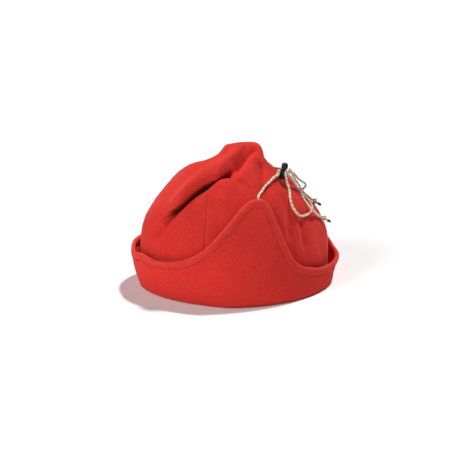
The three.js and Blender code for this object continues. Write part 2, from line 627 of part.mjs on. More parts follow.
// The cord's dark sealed end, on a short neck of cord that comes out of the knot
function tipMesh(name, knotPlace, tipPlace) {
  const { neckRadius, neck, radius, length } = TIP;
  const geometry = turned([
    [0, 0], [neckRadius, 0], [neckRadius, neck], [radius, neck], [radius, neck + length], [0, neck + length],
  ], 10);
  const mesh = part(name, geometry, 'tip');
  const from = onCrown(knotPlace);
  const direction = onCrown(tipPlace).sub(from).normalize();
  mesh.position.copy(from).addScaledVector(direction, KNOT.radius + GAP);
  mesh.quaternion.setFromUnitVectors(new THREE.Vector3(0, 1, 0), direction);
  return mesh;
}

// The last point of a cord that ends at its knot
function atKnot(knotPlace, from) {
  const knot = onCrown(knotPlace);
  const towards = onCrown(from).sub(knot).normalize();
  return knot.addScaledVector(towards, KNOT.radius + GAP);
}

// ---------------------------------------------------------------------------------------------
// The hat
// ---------------------------------------------------------------------------------------------
const MATERIALS = {
  fleece: { color: COLOURS.fleece, roughness: 0.95 },
  hem: { color: COLOURS.hem, roughness: 0.95 },
  cord: { color: COLOURS.cord, roughness: 0.8 },
  tip: { color: COLOURS.tip, roughness: 0.5 },
  plastic: { color: COLOURS.plastic, roughness: 0.35 },
};

function part(name, geometry, material) {
  const surface = new THREE.MeshStandardMaterial({ metalness: 0, ...MATERIALS[material] });
  const mesh = new THREE.Mesh(geometry, surface);
  mesh.name = name;
  return mesh;
}

function crown() {
  const { frontLeft, backLeft, backRight, frontRight } = SEAMS;
  const panels = [
    ['crown_left_panel', frontLeft, backLeft, PANEL_COLUMNS.left],
    ['crown_back_panel', backLeft, backRight, PANEL_COLUMNS.back],
    ['crown_right_panel', backRight, frontRight, PANEL_COLUMNS.right],
    ['crown_front_panel', frontRight, { ...frontLeft, angle: frontLeft.angle + 360 }, PANEL_COLUMNS.front],
  ];
  return panels.map(([name, from, to, count]) => part(name, panelGeometry(from, to, count), 'fleece'));
}

function cordLock() {
  const meshes = [
    part('cord_lock_barrel', barrelGeometry(), 'plastic'),
    part('cord_lock_plunger', plungerGeometry(), 'plastic'),
  ];
  meshes.forEach((mesh) => mesh.applyMatrix4(lockFrame()));
  return meshes;
}

function cords() {
  const { lowPort, highPort, approach } = LOCK;
  const intoLock = (height) => [lockPort(-1, height, approach), lockPort(-1, height, GAP)];
  const outOfLock = (height) => [lockPort(1, height, GAP), lockPort(1, height, approach)];
  const leftEnd = LEFT_END_ROUTE.map(onCrown);
  const rightEnd = RIGHT_END_ROUTE.map(onCrown);
  return [
    part('left_cord', cordGeometry([...LEFT_FLAP_ROUTE.map(onCrown), ...intoLock(lowPort)]), 'cord'),
    part('left_cord_end', cordGeometry(
      [...outOfLock(lowPort), ...leftEnd, atKnot(LEFT_KNOT, LEFT_END_ROUTE.at(-1))]), 'cord'),
    knotMesh('left_cord_knot', LEFT_KNOT),
    tipMesh('left_cord_tip', LEFT_KNOT, LEFT_TIP),
    part('right_cord', cordGeometry([...RIGHT_FLAP_ROUTE.map(onCrown), ...intoLock(highPort)]), 'cord'),
    part('right_cord_end', cordGeometry(
      [...outOfLock(highPort), ...rightEnd, atKnot(RIGHT_KNOT, RIGHT_END_ROUTE.at(-1))]), 'cord'),
    knotMesh('right_cord_knot', RIGHT_KNOT),
    tipMesh('right_cord_tip', RIGHT_KNOT, RIGHT_TIP),
  ];
}

const beanie = new THREE.Group();
beanie.add(
  ...crown(),
  part('cuff', cuffGeometry(), 'fleece'),
  part('cuff_hem', hemGeometry(), 'hem'),
  ...cordLock(),
  ...cords(),
);
beanie.position.y = DOME.centreY;

export default beanie;
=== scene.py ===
"""A fleece beanie with ear flaps, dressed over its frame: fine cloth, hem, stitches, cords and lock."""

import math

import bmesh
import bpy
import numpy as np
from mathutils import Matrix, Vector


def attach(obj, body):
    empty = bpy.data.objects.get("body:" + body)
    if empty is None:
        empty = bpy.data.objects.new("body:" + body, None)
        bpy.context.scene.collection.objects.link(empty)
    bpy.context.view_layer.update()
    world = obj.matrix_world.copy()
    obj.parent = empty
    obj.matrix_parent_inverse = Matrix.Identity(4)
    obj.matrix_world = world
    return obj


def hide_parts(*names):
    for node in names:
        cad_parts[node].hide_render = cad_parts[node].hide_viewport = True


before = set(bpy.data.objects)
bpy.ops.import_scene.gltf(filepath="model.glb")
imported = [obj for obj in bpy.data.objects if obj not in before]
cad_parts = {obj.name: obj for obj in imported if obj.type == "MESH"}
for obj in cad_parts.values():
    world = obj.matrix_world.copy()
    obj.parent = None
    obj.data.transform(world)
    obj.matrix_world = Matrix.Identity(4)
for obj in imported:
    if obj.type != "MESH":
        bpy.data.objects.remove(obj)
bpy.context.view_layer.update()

bl_info = {
    "name": "Fleece beanie with ear flaps",
    "version": (1, 0, 0),
    "blender": (4, 5, 0),
    "location": "View3D > Sidebar > Beanie",
    "description": "Builds a fleece beanie with its cuff, hem, cords and cord lock",
    "category": "Object",
}

HAT = "hat"
PLUNGER = "plunger"
MM = 0.001
DEG = math.pi / 180


def table(names, rows):
    """Columns of a table by name."""
    return {name: np.array([row[i] for row in rows], float) for i, name in enumerate(names)}


# ---- Form of the hat, in millimetres and degrees, following the part's source ----
CENTRE_Y = -2.26
HALF_WIDTH = 84.0
HALF_LENGTH = 104.0
HEIGHT = 143.0
MERIDIAN_STEPS = 600
POLE_BACK = 12.0
# Exponent of the dome's section, and how much more it is at the front
FULLNESS = 2.38
FULLNESS_FRONT = 0.07
# Shares of the dome's reach over which its pole moves back, and over which its height changes from
# that of its section to that of its turn
POLE_FADE = (0.0, 0.55)
TOP_FADE = (0.45, 0.6)
# Towards the table the front of the base pulls in, and comes to a rounded point
FRONT_TUCK = 0.05
FRONT_POINT = 0.34
FRONT_TUCK_HEIGHT = 24.0
FRONT_TUCK_FADE = (0.2, 1.0)
FRONT_POINT_FADE = (0.1, 0.6)
# Height of the crown's lower edge, hidden inside the cuff
CROWN_EDGE = 13.5
# The top stands this much lower at the back than at the front
LENGTH_LEAN = 0.02
# Share of a distance along the normal that a form's own distance leaves out
NORMAL_SHARE = 0.88
# The crown's panels, and for the seam that each starts with: its angle round the crown at the
# crease, how far it leans round below it, and how plainly it shows
PANELS = ("crown_left_panel", "crown_back_panel", "crown_right_panel", "crown_front_panel")
SEAMS = (-41.5, 32.0, 148.0, 221.5)
SEAM_LEANS = (10.5, 0.0, 0.0, -10.5)
SEAM_MARKS = (0.6, 0.35, 0.6, 0.6)
SEAM_LEAN_ROW = 0.22

CUFF_INNER_OUT = -1.3
CUFF_INNER_TOP = 13.4
CUFF_FOLD_HEIGHT = 4.375
CUFF_FOLD_DROP = 3.1
CUFF_STAND = 4.6
CUFF_FLARE_FRONT = 5.5
CUFF_FLARE_BACK = 10.5
CUFF_FLARE_POWER = 1.3
# The flare fades towards the ears, and grows from one height over the next stretch
CUFF_FLARE_FADE = (0.4, 1.0)
CUFF_FLARE_FROM = 6.0
CUFF_FLARE_OVER = 30.0
# The ear flaps lean in: by how much, round which angle, how widely, and over what heights
CUFF_FLAP_IN = 0.5
FLAP_MIDDLE = 4.0
FLAP_SPREAD = 30.0
FLAP_RISE = (20.0, 100.0)
# The rim stands this much higher at the far back quarter, from and until these angles
FAR_LIFT = 12.0
FAR_LIFT_FROM = (88.0, 116.0)
FAR_LIFT_UNTIL = (118.0, 150.0)
HEM_CENTRE = 3.15
HEM_EDGE = 7.9

# Height of the crown's fold line round the hat, and how far the fold is formed there
CREASE = table(
    ("angle", "height"),
    (
        (-180, 112), (-130, 98), (-105, 84), (-88, 74), (-80, 74.0), (-74, 76.6), (-68, 83.7),
        (-61, 98.4), (-54, 111.6), (-46, 123.5), (-38, 129.7), (-30, 132.5), (-22, 133),
        (-12, 133.2), (0, 132), (30, 128), (90, 120), (180, 112),
    ),
)
FOLD = table(
    ("angle", "strength"),
    (
        (-180, 0), (-90, 0), (-80, 0), (-74, 0.06), (-68, 0.28), (-62, 0.7), (-54, 1), (-32, 1),
        (-26, 0.8), (-21, 0.48), (-16, 0.18), (-11, 0.03), (-6, 0), (2, 0), (180, 0),
    ),
)
# The roll above the crease: where cloth from so far above it lies, along the dome and out of it
ROLL = table(
    ("reach", "along", "out"),
    (
        (0, 0, -16), (5, -5, -13), (9, -9, -8), (13, -11.3, -1.5), (16, -11, 3.2), (20, -7, 8),
        (25, 0.5, 10.8), (30, 7.5, 11.5), (38, 18, 10.5), (50, 36, 6.5), (62, 55, 2), (75, 75, 0),
    ),
)
# Beyond this reach the roll's tail is squeezed to fade before the crown's top
ROLL_FIXED = 30.0
# The sheet below the crease, tucked under the roll's lip
TUCK = table(
    ("reach", "out"),
    (
        (0, -16), (6, -16.3), (12, -14), (15.5, -8.5), (17, -4), (18.5, -0.6), (21.5, 1.4), (29, 2),
        (45, 0.8), (60, 0),
    ),
)
# Towards the end of the fold the sheet's bend is tighter than in the table by this share
FOLD_GATHER = 1.2
FOLD_GATHER_FROM = (-40.0, -20.0)
FOLD_GATHER_UNTIL = (-10.0, 0.0)
# Height of the cuff's rim, from the front (-90) over an ear flap to the back (90)
RIM = table(
    ("angle", "height"),
    (
        (-90, 39.5), (-78, 43.5), (-66, 43), (-54, 44), (-42, 49), (-32, 59), (-22, 76), (-12, 95),
        (-4, 105.5), (3, 108.5), (9, 107.5), (13, 101), (18, 71), (23, 48.5), (29, 38), (38, 31.5),
        (48, 27.5), (66, 27), (80, 27.7), (90, 28.3),
    ),
)
# Section of the hem from its upper edge to its lower one, as shares of its half width and half
# thickness. The upper edge is round, the lower one thin and nearly square where it meets the cuff.
HEM_PROFILE = table(
    ("across", "thick"),
    (
        (0.987, 0.252), (0.949, 0.417), (0.885, 0.55), (0.797, 0.655), (0.687, 0.734),
        (0.555, 0.788), (0.402, 0.817), (0.226, 0.822), (0.0, 0.8), (-0.2, 0.75), (-0.4, 0.69),
        (-0.6, 0.63), (-0.8, 0.57), (-0.93, 0.53), (-0.985, 0.51),
    ),
)
# Dents and ridges of the crown: path, half width on its left and right, height out of the crown,
# sharpness, and the shares of the path until which it fades in and from which it fades out
FORMS = (
    # valley past the fold
    (
        (
            (39, -13, 132), (34, -7.5, 136), (28.5, -1.5, 140), (23.5, 4, 144.5),
            (18.5, 9.5, 149), (14.5, 14.5, 152), (11, 20, 153),
        ),
        7, 3, -7.5, 1.3, 0.3, 0.92,
    ),
    # ridge beside the valley
    (
        (
            (48, -10, 126), (42, -4, 131), (36, 2, 136), (31, 7.5, 139.5), (26, 13, 144),
            (21, 18, 148),
        ),
        4.5, 10, 3, 2, 0.15, 0.9,
    ),
    # lower sheet, full there
    (((62, -34, 100), (50, -24, 122), (46, -12, 126)), 9, 9, 2.5, 2, 0.4, 0.9),
    # hollow under the peak
    (
        ((24, 23, 144), (33, 21, 136), (45, 19.5, 127), (53, 17, 119), (60, 15, 108)),
        3.5, 5, -4.5, 1.6, 0.2, 0.7,
    ),
    # slack front shoulder
    (((-40, -62, 118), (0, -66, 122), (36, -56, 122)), 26, 26, -4, 2, 0.2, 0.8),
    # slack far side
    (((-55, -22, 118), (-25, -27, 134), (2, -27, 138)), 15, 15, -4.5, 2, 0.1, 0.8),
    # full front
    (((-50, -86, 62), (0, -104, 62), (50, -86, 62)), 30, 30, 4, 2, 0.3, 0.7),
    # slack back shoulder
    (
        ((50, 44, 126), (34, 58, 124), (10, 66, 124), (-20, 66, 124), (-44, 50, 124)),
        24, 24, -6, 2, 0.15, 0.85,
    ),
    # step behind the peak
    (((-20, 44, 143), (8, 42, 144), (25, 36, 141)), 12, 12, -8.5, 2, 0.2, 0.8),
    # fore fold of the back left
    (
        ((47.9, 38.5, 114.6), (57, 40, 100.9), (64.7, 42.6, 82.4), (71.3, 42.1, 60.7)),
        6, 4.5, -2.4, 2, 0.2, 0.8,
    ),
    # hind fold of the back left
    (((51, 57, 95), (56.4, 57.6, 82.5), (66, 58.3, 48.5)), 5, 4, -2.2, 2, 0.3, 0.8),
    # the back's slope
    (
        ((46, 62, 102), (24, 75, 102), (0, 80, 102), (-24, 75, 102), (-46, 62, 102)),
        13, 17, -6, 2, 0.25, 0.8,
    ),
    # hollow behind the lock
    (((24, 44, 134), (-5, 53, 128), (-34, 46, 126)), 9, 9, -2.5, 2, 0.2, 0.8),
    # soft hollow at the front
    (((24, -84, 78), (16, -92, 66), (14, -96, 50)), 10, 10, -2, 2, 0.1, 0.5),
    # full back
    (((-50, 88, 55), (0, 100, 55), (50, 88, 55)), 22, 22, 3.5, 2, 0.2, 0.8),
)
# The pinched peak, a block with rounded sides. Its front is a ramp on the wearer's left.
PEAK_AT = (2.0, 9.3)
PEAK_HALF = (21.0, 22.5)
PEAK_RISE = 13.0
PEAK_TILT = 0.12
PEAK_POWERS = (3.0, 14.0)
RAMP_HALF = 30.0
RAMP_POWER = 2.5
RAMP_FROM = (0.0, 16.0)

# Cord routes over the crown: angle, height of the place on the plain dome, height off the cloth
LEFT_FLAP_ROUTE = (
    (5.6, 107.2, 4.8), (5.8, 110.9, 4.6), (7.6, 113.4, 3.2), (11.4, 116.7, 2.2), (18.5, 120.4, 2.3),
    (24, 123.2, 2.3), (31, 125.8, 2.8), (36.5, 126.4, 4.6),
)
LEFT_END_ROUTE = (
    (57, 121.1, 7.4), (59.5, 117.6, 5.6), (66, 113.2, 2.4), (73, 108.4, 1.9), (74.5, 101.6, 1.9),
    (71.5, 95.7, 1.9), (67, 91, 1.9), (61.5, 88.1, 1.9), (53, 86.9, 1.9), (45.5, 86.6, 1.9),
    (40, 87.9, 2.4), (36, 92.1, 2.2), (35, 98, 1.9), (36, 105.6, 2.3), (41, 113.3, 3),
    (42.3, 120.7, 6), (40.5, 123, 8.5), (39.4, 124.6, 10.5), (39.3, 125.2, 12.4),
    (40.4, 125.5, 14.4), (42.7, 126, 15.6), (52.3, 127.5, 15.5), (54.6, 127.7, 14.2),
    (58, 125, 11.6), (61, 121.9, 9.2), (63, 116.9, 7), (63.4, 111.7, 6.2), (64.4, 105.8, 3.6),
    (60.5, 99.7, 2.2), (55.5, 94.5, 3), (52, 90.1, 5.4), (56, 85.9, 5), (62, 81, 2.4),
    (66.4, 77, 2.2),
)
LEFT_KNOT = (69, 73, 3.4)
LEFT_TIP = (71, 67.9, 6.4)
RIGHT_FLAP_ROUTE = (
    (174.4, 107.2, 4.8), (174.2, 110.9, 4.6), (172, 113.4, 3.2), (168, 116, 2.2),
    (160, 118.5, 1.9), (148, 120.3, 1.9), (134, 121, 2.2), (121.5, 122.2, 2.8), (106, 124.4, 2.8),
    (92, 126.6, 2.4), (78, 128.4, 2.2), (64, 129, 3), (54.4, 129.3, 5.6), (51.7, 130.2, 5.4),
    (46.4, 130.4, 5),
)
RIGHT_END_ROUTE = (
    (58, 126.6, 8), (66, 125.4, 8.6), (71.5, 122.6, 8.6), (74, 118.9, 7.6), (76, 115.7, 7.4),
    (77, 113.4, 8.4), (77, 111.3, 10.2), (78, 108.4, 9.8), (79.4, 106.4, 7.2), (80.6, 106.2, 4.8),
    (83, 104.6, 3.2), (85.6, 99.6, 2), (85, 94.4, 1.9), (82.6, 91, 2.2),
)
RIGHT_KNOT = (79, 88.6, 3.4)
RIGHT_TIP = (75, 85.2, 6)
KNOT_RADIUS = 3.3
# A cord's way ends this far short of its knot, and then runs straight into it
CORD_GAP = 0.3

LOCK_AT = (46.8, 122.6)
LOCK_SEAT = 4.4
LOCK_LEAN = (0.12, 0.13, 1.0)
LOCK_THROUGH = (0.32, 0.95, 0.0)
LOCK_RADIUS = 4.0
LOCK_HEIGHT = 10.2
LOCK_BORE = 2.8
LOCK_FLOOR = 1.0
LOW_PORT = 4.8
HIGH_PORT = 7.85
SLOT_WIDTH = 3.2
SLOT_LOW = 3.4
SLOT_HIGH = 9.2
# The plunger's slot is this much taller, so that it clears the cords when it is pressed
SLOT_SPARE = 2.3
STEM_RADIUS = 2.5
STEM_LOW = 3.0
CAP_LOW = 12.2
CAP_RADIUS = 3.6
CAP_HEIGHT = 14.7
CORD_APPROACH = 2.4
# For each cord: its side, its height in the lock, its routes, and its knot and tip
CORDS = (
    ("left", LOW_PORT, LEFT_FLAP_ROUTE, LEFT_END_ROUTE, LEFT_KNOT, LEFT_TIP),
    ("right", HIGH_PORT, RIGHT_FLAP_ROUTE, RIGHT_END_ROUTE, RIGHT_KNOT, RIGHT_TIP),
)

# ---- Fine form, only here ----
# Rows of the crown's cloth, below and above the crease, close in on it by this power
CROWN_ROWS = (76, 92)
ROW_POWER = 1.35
# Columns of a panel: distances from a seam, at this radius, then even steps of so many degrees
SEAM_STEPS = (0, 0.12, 0.35, 0.7, 1.1, 1.5, 2.1, 2.9)
SEAM_STEPS_RADIUS = 90.0
COLUMN_STEP = 0.8
COLUMN_GAP = 0.5
# Near the crown's top the cloth's thickness is measured straight down
TOP_FLAT = (0.0, 9.0)
# On the roll the seams show less by this share, fading over these distances above the crease
MARK_LOST = 0.8
MARK_FADE = (-34.0, -16.0)
# Beside a seam the cloth swells: height, distance from the seam and spread
SEAM_SWELL = (0.35, 4.5, 3.0)
# Wear along a seam, by its spread, and along the roll, by its share, place and spread
SEAM_WEAR = 2.2
ROLL_WEAR = (0.8, 30.0, 7.0)
# Painted shade inside the fold, between these distances above the crease, where the fold is formed
# by these shares
PAINTED_SHADE_ABOVE = (13.5, 17.5)
PAINTED_SHADE_BELOW = (-18.0, -15.5)
PAINTED_SHADE_FOLD = (0.2, 0.8)
# The cuff's columns, its rows on the inner edge and in the fold, and shares of the way up to the
# hem, whose columns lean square to the rim by this power of the share
CUFF_COLUMNS = 440
CUFF_INNER_ROWS = 6
CUFF_INNER_LOW = 5.0
CUFF_FOLD_ROWS = 16
CUFF_OUTER_SHARES = (*np.linspace(0, 1, 46)[:-1], 0.996, 1.0)
CUFF_OUTER_POWER = 1.5
CUFF_UNDER_HEM = 0.6
# Rows of the cuff that lie on the table and are rubbed there
CUFF_WORN_ROWS = slice(6, 18)
CUFF_WEAR = 0.5
# The cuff's unevenness comes in and goes out over these shares of its rows. The hem's unevenness
# and its wear come in over these shares of its half width, measured up from its middle.
CUFF_SOFT_FROM = (0.3, 0.5)
CUFF_SOFT_UNTIL = (0.9, 0.98)
HEM_SOFT_FROM = (-0.95, -0.3)
HEM_WEAR = (-0.2, 1.0)
HEM_COLUMNS = 560
# The stitches run this far below the rim and out of the cuff's middle layer
STITCH_COLUMNS = 900
STITCH_BELOW = 6.4
STITCH_OUT = 2.15
# Soft unevenness of the cloth, by height, length of the waves and seed
NOISE_WAVES = 7
CROWN_WAVES = ((0.28, 34, 3), (0.14, 13, 5))
CUFF_WAVES = ((0.3, 42, 11), (0.15, 15, 12))
HEM_WAVES = ((0.22, 26, 21), (0.12, 9, 22))
# Lengths, in metres, that the cloth's own pattern is laid over
PANEL_UV_RADIUS = 0.092
CUFF_UV_ROUND = 0.62
HEM_UV_ROUND = 0.7
LATHE_UV_ROUND = 0.02

# Cords: steps between two places of a route, then even steps, sides and passes over tight bends
ROUTE_STEPS = 40
CORD_STEP = 0.45
CORD_SIDES = 16
BEND_PASSES = 14
# A cord's declared path takes every so many points of its line
PATH_EVERY = 6
# The braid repeats along the cord in this length, has so many strands each way, and its relief
# stands this much over the base, as shares of the cord's radius. A cord's end is rounded off.
BRAID_LAY = 2.6
BRAID_STRANDS = 4
BRAID_BASE = 0.96
BRAID_RELIEF = 0.05
CORD_END_ROUND = 0.8
# The dark yarn in the braid comes round once in this length, in metres
TRACER_PITCH = 0.0047
# The knot's cord, drawn thin, its turns' mean radius, swing and rise, and the neck that leaves it
KNOT_CORD = 2.3
KNOT_STEPS = 120
KNOT_RING = 1.62
KNOT_SWING = 0.82
KNOT_RISE = 0.95
NECK_CORD = 1.9
NECK_FROM = 0.5
NECK_PAST = 2.4
NECK_STEPS = 14
TIP_PAST = 1.6
# Turned profiles: radius, height, rounding
TIP_PROFILE = ((0.05, 0, 0), (1.5, 0, 0.35), (1.62, 1.2, 0.3), (1.4, 4.3, 0.8), (0.05, 4.5, 0))
TIP_SIDES = 24
LOCK_SIDES = 48
LOCK_SHARP = 35 * DEG
LOCK_AXIS = 0.02
# A fine groove round the barrel's foot: height, depth
LOCK_GROOVE = ((2.2, 0), (2.5, 0.15), (2.8, 0.15), (3.1, 0))
SLOT_REACH = 6.0
SLOT_EASE = 0.2
BUTTON_STEPS = 18

SENSOR = 36.0
FLOOR_REACH = 8.0
FLOOR_DROP = 0.0003
WORLD_LIGHT = 0.06
# Suns of the studio: how far each stands from the hat towards the camera, up, and to the camera's
# right, with its spread in degrees and its strength
SUNS = {
    "key": (1.0, 0.95, -1.35, 30, 1.95),
    "fill": (1.2, 0.15, -0.5, 60, 0.3),
    "overhead": (-0.33, 1.0, 0.32, 6, 3.0),
}
STITCHES = "stitches along a line"


# ---- Curves and the plain dome ----
def smooth(low, high, x):
    """A step from 0 at low to 1 at high, level at both ends."""
    t = np.clip((x - low) / (high - low), 0, 1)
    return t * t * (3 - 2 * t)


def hump(x, middle, spread):
    """A soft hump, 1 at its middle."""
    return np.exp(-(((x - middle) / spread) ** 2))


def between(t, low, high, slope_low, slope_high):
    """A curve from one value to the next, with a slope at each."""
    start = (2 * t**3 - 3 * t**2 + 1) * low + (t**3 - 2 * t**2 + t) * slope_low
    return start + (3 * t**2 - 2 * t**3) * high + (t**3 - t**2) * slope_high


def curved(xs, ys, x):
    """A smooth curve through the rows of a table, level at both ends."""
    slopes = np.zeros_like(ys)
    slopes[1:-1] = (ys[2:] - ys[:-2]) / (xs[2:] - xs[:-2])
    x = np.clip(x, xs[0], xs[-1])
    i = np.clip(np.searchsorted(xs, x, side="right") - 1, 0, len(xs) - 2)
    h = xs[i + 1] - xs[i]
    return between((x - xs[i]) / h, ys[i], ys[i + 1], h * slopes[i], h * slopes[i + 1])


def run_along(line):
    """Distance along a line at each of its points."""
    return np.concatenate([[0], np.cumsum(np.linalg.norm(np.diff(line, axis=0), axis=-1))])


def meridian():
    """Turn, height and arc length up the plain dome's mean section."""
    turn = np.linspace(0, math.pi / 2, MERIDIAN_STEPS + 1)
    out = np.maximum(np.cos(turn), 0) ** (2 / FULLNESS) * (HALF_WIDTH + HALF_LENGTH) / 2
    height = np.sin(turn) ** (2 / FULLNESS) * HEIGHT
    return turn, height, run_along(np.stack([out, height], -1))


TURNS, HEIGHTS, ARCS = meridian()
TOP = ARCS[-1]


def arc_at(height):
    return np.interp(height, HEIGHTS, ARCS)


def wrap(degrees):
    return (np.asarray(degrees) + 180) % 360 - 180


def unit(v):
    return v / (np.linalg.norm(v, axis=-1, keepdims=True) + 1e-12)


def signed_power(x, power):
    return np.sign(x) * np.abs(x) ** power


def fullness(angle):
    return FULLNESS - FULLNESS_FRONT * np.sin(angle)


def dome(angle, arc):
    """Point and outward normal of the plain dome at an angle and a distance up from the table."""
    turn = np.interp(arc, ARCS, TURNS)
    n = fullness(angle)
    rho = np.maximum(np.cos(turn), 0) ** (2 / n)
    low = np.clip(1 - arc / FRONT_TUCK_HEIGHT, 0, 1) ** 2
    tuck = 1 - FRONT_TUCK * low * smooth(*FRONT_TUCK_FADE, -np.sin(angle))
    power = 2 / (2 - FRONT_POINT * low * smooth(*FRONT_POINT_FADE, -np.sin(angle)))
    back = POLE_BACK * (1 - smooth(*POLE_FADE, rho))
    x = HALF_WIDTH * rho * signed_power(np.cos(angle), power) * tuck
    y = (HALF_LENGTH * rho * signed_power(np.sin(angle), power) + back) * tuck
    u = x / HALF_WIDTH
    v = y / HALF_LENGTH
    reach = np.hypot(u, v)
    n_here = fullness(np.arctan2(v, u))
    on_section = HEIGHT * np.maximum(1 - np.minimum(reach, 1) ** n_here, 0) ** (1 / n_here)
    by_turn = HEIGHT * np.sin(turn) ** (2 / n)
    z = by_turn + (on_section - by_turn) * (1 - smooth(*TOP_FADE, rho))
    slope = np.maximum(reach, 1e-9) ** (n_here - 2)
    steep = (np.maximum(z, 0.001) / HEIGHT) ** (n_here - 1) / HEIGHT
    normal = unit(np.stack([slope * u / HALF_WIDTH, slope * v / HALF_LENGTH, steep], -1))
    return np.stack([x, y, z], -1), normal


# ---- The crown's cloth ----
def to_path(point, normal, path):
    """Distance to a path with most of what lies along the normal left out, negative on the path's
    right, and share along it."""
    ends = np.array(path, float)
    before = run_along(ends)
    best = np.full(point.shape[:-1], 1e9)
    side = np.ones(point.shape[:-1])
    share = np.zeros(point.shape[:-1])
    for i, along in enumerate(np.diff(ends, axis=0)):
        t = np.clip(((point - ends[i]) @ along) / (along @ along), 0, 1)
        off = point - ends[i] - t[..., None] * along
        up = (off * normal).sum(-1)
        distance = np.sqrt(np.maximum((off * off).sum(-1) - NORMAL_SHARE * up**2, 0))
        nearer = distance < best
        best = np.where(nearer, distance, best)
        side = np.where(nearer, np.where((np.cross(along, off) * normal).sum(-1) < 0, -1, 1), side)
        share = np.where(nearer, (before[i] + t * (before[i + 1] - before[i])) / before[-1], share)
    return best * side, share


def forms_at(point, normal):
    """How far the dents and ridges move the cloth out."""
    out = np.zeros(point.shape[:-1])
    for path, left, right, height, sharpness, fade_in, fade_out in FORMS:
        distance, share = to_path(point, normal, path)
        off = np.abs(distance) / np.where(distance > 0, left, right)
        faded = height * smooth(0, fade_in, share) * (1 - smooth(fade_out, 1, share))
        out += faded * np.exp(-(off**sharpness))
    return out


def peak_at(point):
    """How far the pinched peak rises over the dome."""
    x, y = point[..., 0], point[..., 1] - PEAK_AT[1]
    aside = (np.abs(x - PEAK_AT[0]) / PEAK_HALF[0]) ** PEAK_POWERS[0]
    ahead = (np.abs(y) / PEAK_HALF[1]) ** PEAK_POWERS[1]
    ramp = (np.abs(y) / RAMP_HALF) ** RAMP_POWER
    ahead += (ramp - ahead) * smooth(*RAMP_FROM, x) * (y < 0)
    return (PEAK_RISE + PEAK_TILT * y) * np.exp(-aside - ahead)


def crease_arc(degrees):
    return arc_at(curved(CREASE["angle"], CREASE["height"], wrap(degrees)))


def gathered(degrees):
    """How much shorter the tucked sheet's bend is than in the table."""
    here = smooth(*FOLD_GATHER_FROM, degrees) * (1 - smooth(*FOLD_GATHER_UNTIL, degrees))
    return 1 + FOLD_GATHER * here


def fold_at(degrees):
    """How far the fold is formed at an angle."""
    return curved(FOLD["angle"], FOLD["strength"], degrees)


def cloth(angle, reach, above):
    """Cloth at a distance from the crease, above it or below it."""
    degrees = wrap(angle / DEG)
    strength = np.clip(fold_at(degrees), 0, 1)
    crease = crease_arc(degrees)
    room = TOP - crease
    last = ROLL["reach"][-1]
    tail = ROLL_FIXED + (reach - ROLL_FIXED) * (last - ROLL_FIXED) / (room - ROLL_FIXED)
    squeezed = np.where((room < last) & (reach > ROLL_FIXED), tail, reach)
    shift = curved(ROLL["reach"], ROLL["along"] - ROLL["reach"], squeezed) * strength
    rolled = curved(ROLL["reach"], ROLL["out"], squeezed) * strength
    tucked = curved(TUCK["reach"], TUCK["out"], reach * gathered(degrees)) * strength
    arc = np.where(above, crease + reach + shift, crease - reach)
    point, normal = dome(angle, np.clip(arc, 0, TOP))
    point[..., 2] += peak_at(point)
    out = np.where(above, rolled, tucked) + forms_at(point, normal)
    place = point + normal * out[..., None]
    place[..., 2] *= 1 - LENGTH_LEAN * place[..., 1] / HALF_LENGTH
    return place


def at_arc(angle, arc):
    """Cloth at a distance up the plain dome."""
    from_crease = arc - crease_arc(angle / DEG)
    return cloth(angle, np.abs(from_crease), from_crease >= 0)


def on_crown(place):
    """A point near the crown by angle, plain height and height off the cloth."""
    degrees, height, lift = place
    angle = np.array(degrees * DEG)
    arc = arc_at(height)
    around = at_arc(angle + DEG, arc) - at_arc(angle - DEG, arc)
    up = at_arc(angle, arc + 1) - at_arc(angle, arc - 1)
    return at_arc(angle, arc) + unit(np.cross(around, up)) * lift


# ---- The cuff ----
def ear_angle(degrees):
    """Angle from an ear, negative towards the front, the same on both sides of the hat."""
    return np.where(np.abs(degrees) <= 90, degrees, np.sign(degrees) * 180 - degrees)


def rim_arc(degrees):
    at = wrap(degrees)
    lift = FAR_LIFT * smooth(*FAR_LIFT_FROM, at) * (1 - smooth(*FAR_LIFT_UNTIL, at))
    return arc_at(curved(RIM["angle"], RIM["height"], ear_angle(at)) + lift)


def cuff_out(degrees, arc):
    """How far the cuff's middle layer stands off the dome."""
    ear = ear_angle(wrap(degrees))
    side = np.sin(ear * DEG)
    most = np.where(side < 0, CUFF_FLARE_FRONT, CUFF_FLARE_BACK)
    up = np.clip((arc - CUFF_FLARE_FROM) / CUFF_FLARE_OVER, 0, 1)
    flare = most * smooth(*CUFF_FLARE_FADE, side * side) * up**CUFF_FLARE_POWER
    flap = hump(ear, FLAP_MIDDLE, FLAP_SPREAD) * smooth(*FLAP_RISE, arc)
    return CUFF_STAND + flare - CUFF_FLAP_IN * flap


def off_dome(degrees, arc, out):
    point, normal = dome(degrees * DEG, arc)
    return point + normal * np.asarray(out)[..., None]


def on_cuff(degrees, arc):
    return off_dome(degrees, arc, cuff_out(degrees, arc))


def below_rim(degrees, distance):
    """Angle and arc of a place below the rim, measured square to the rim along the cuff."""
    turn = 0.5
    arc = rim_arc(degrees)
    around = on_cuff(degrees + turn, arc) - on_cuff(degrees - turn, arc)
    width = np.linalg.norm(around, axis=-1) / (2 * turn)
    slope = (rim_arc(degrees + turn) - rim_arc(degrees - turn)) / (2 * turn) / width
    cosine = 1 / np.hypot(1, slope)
    return degrees + distance * slope * cosine / width, arc - distance * cosine


# ---- Making meshes and materials ----
def colours():
    return bpy.context.scene.beanie_colours


def sizes():
    return bpy.context.scene.beanie_sizes


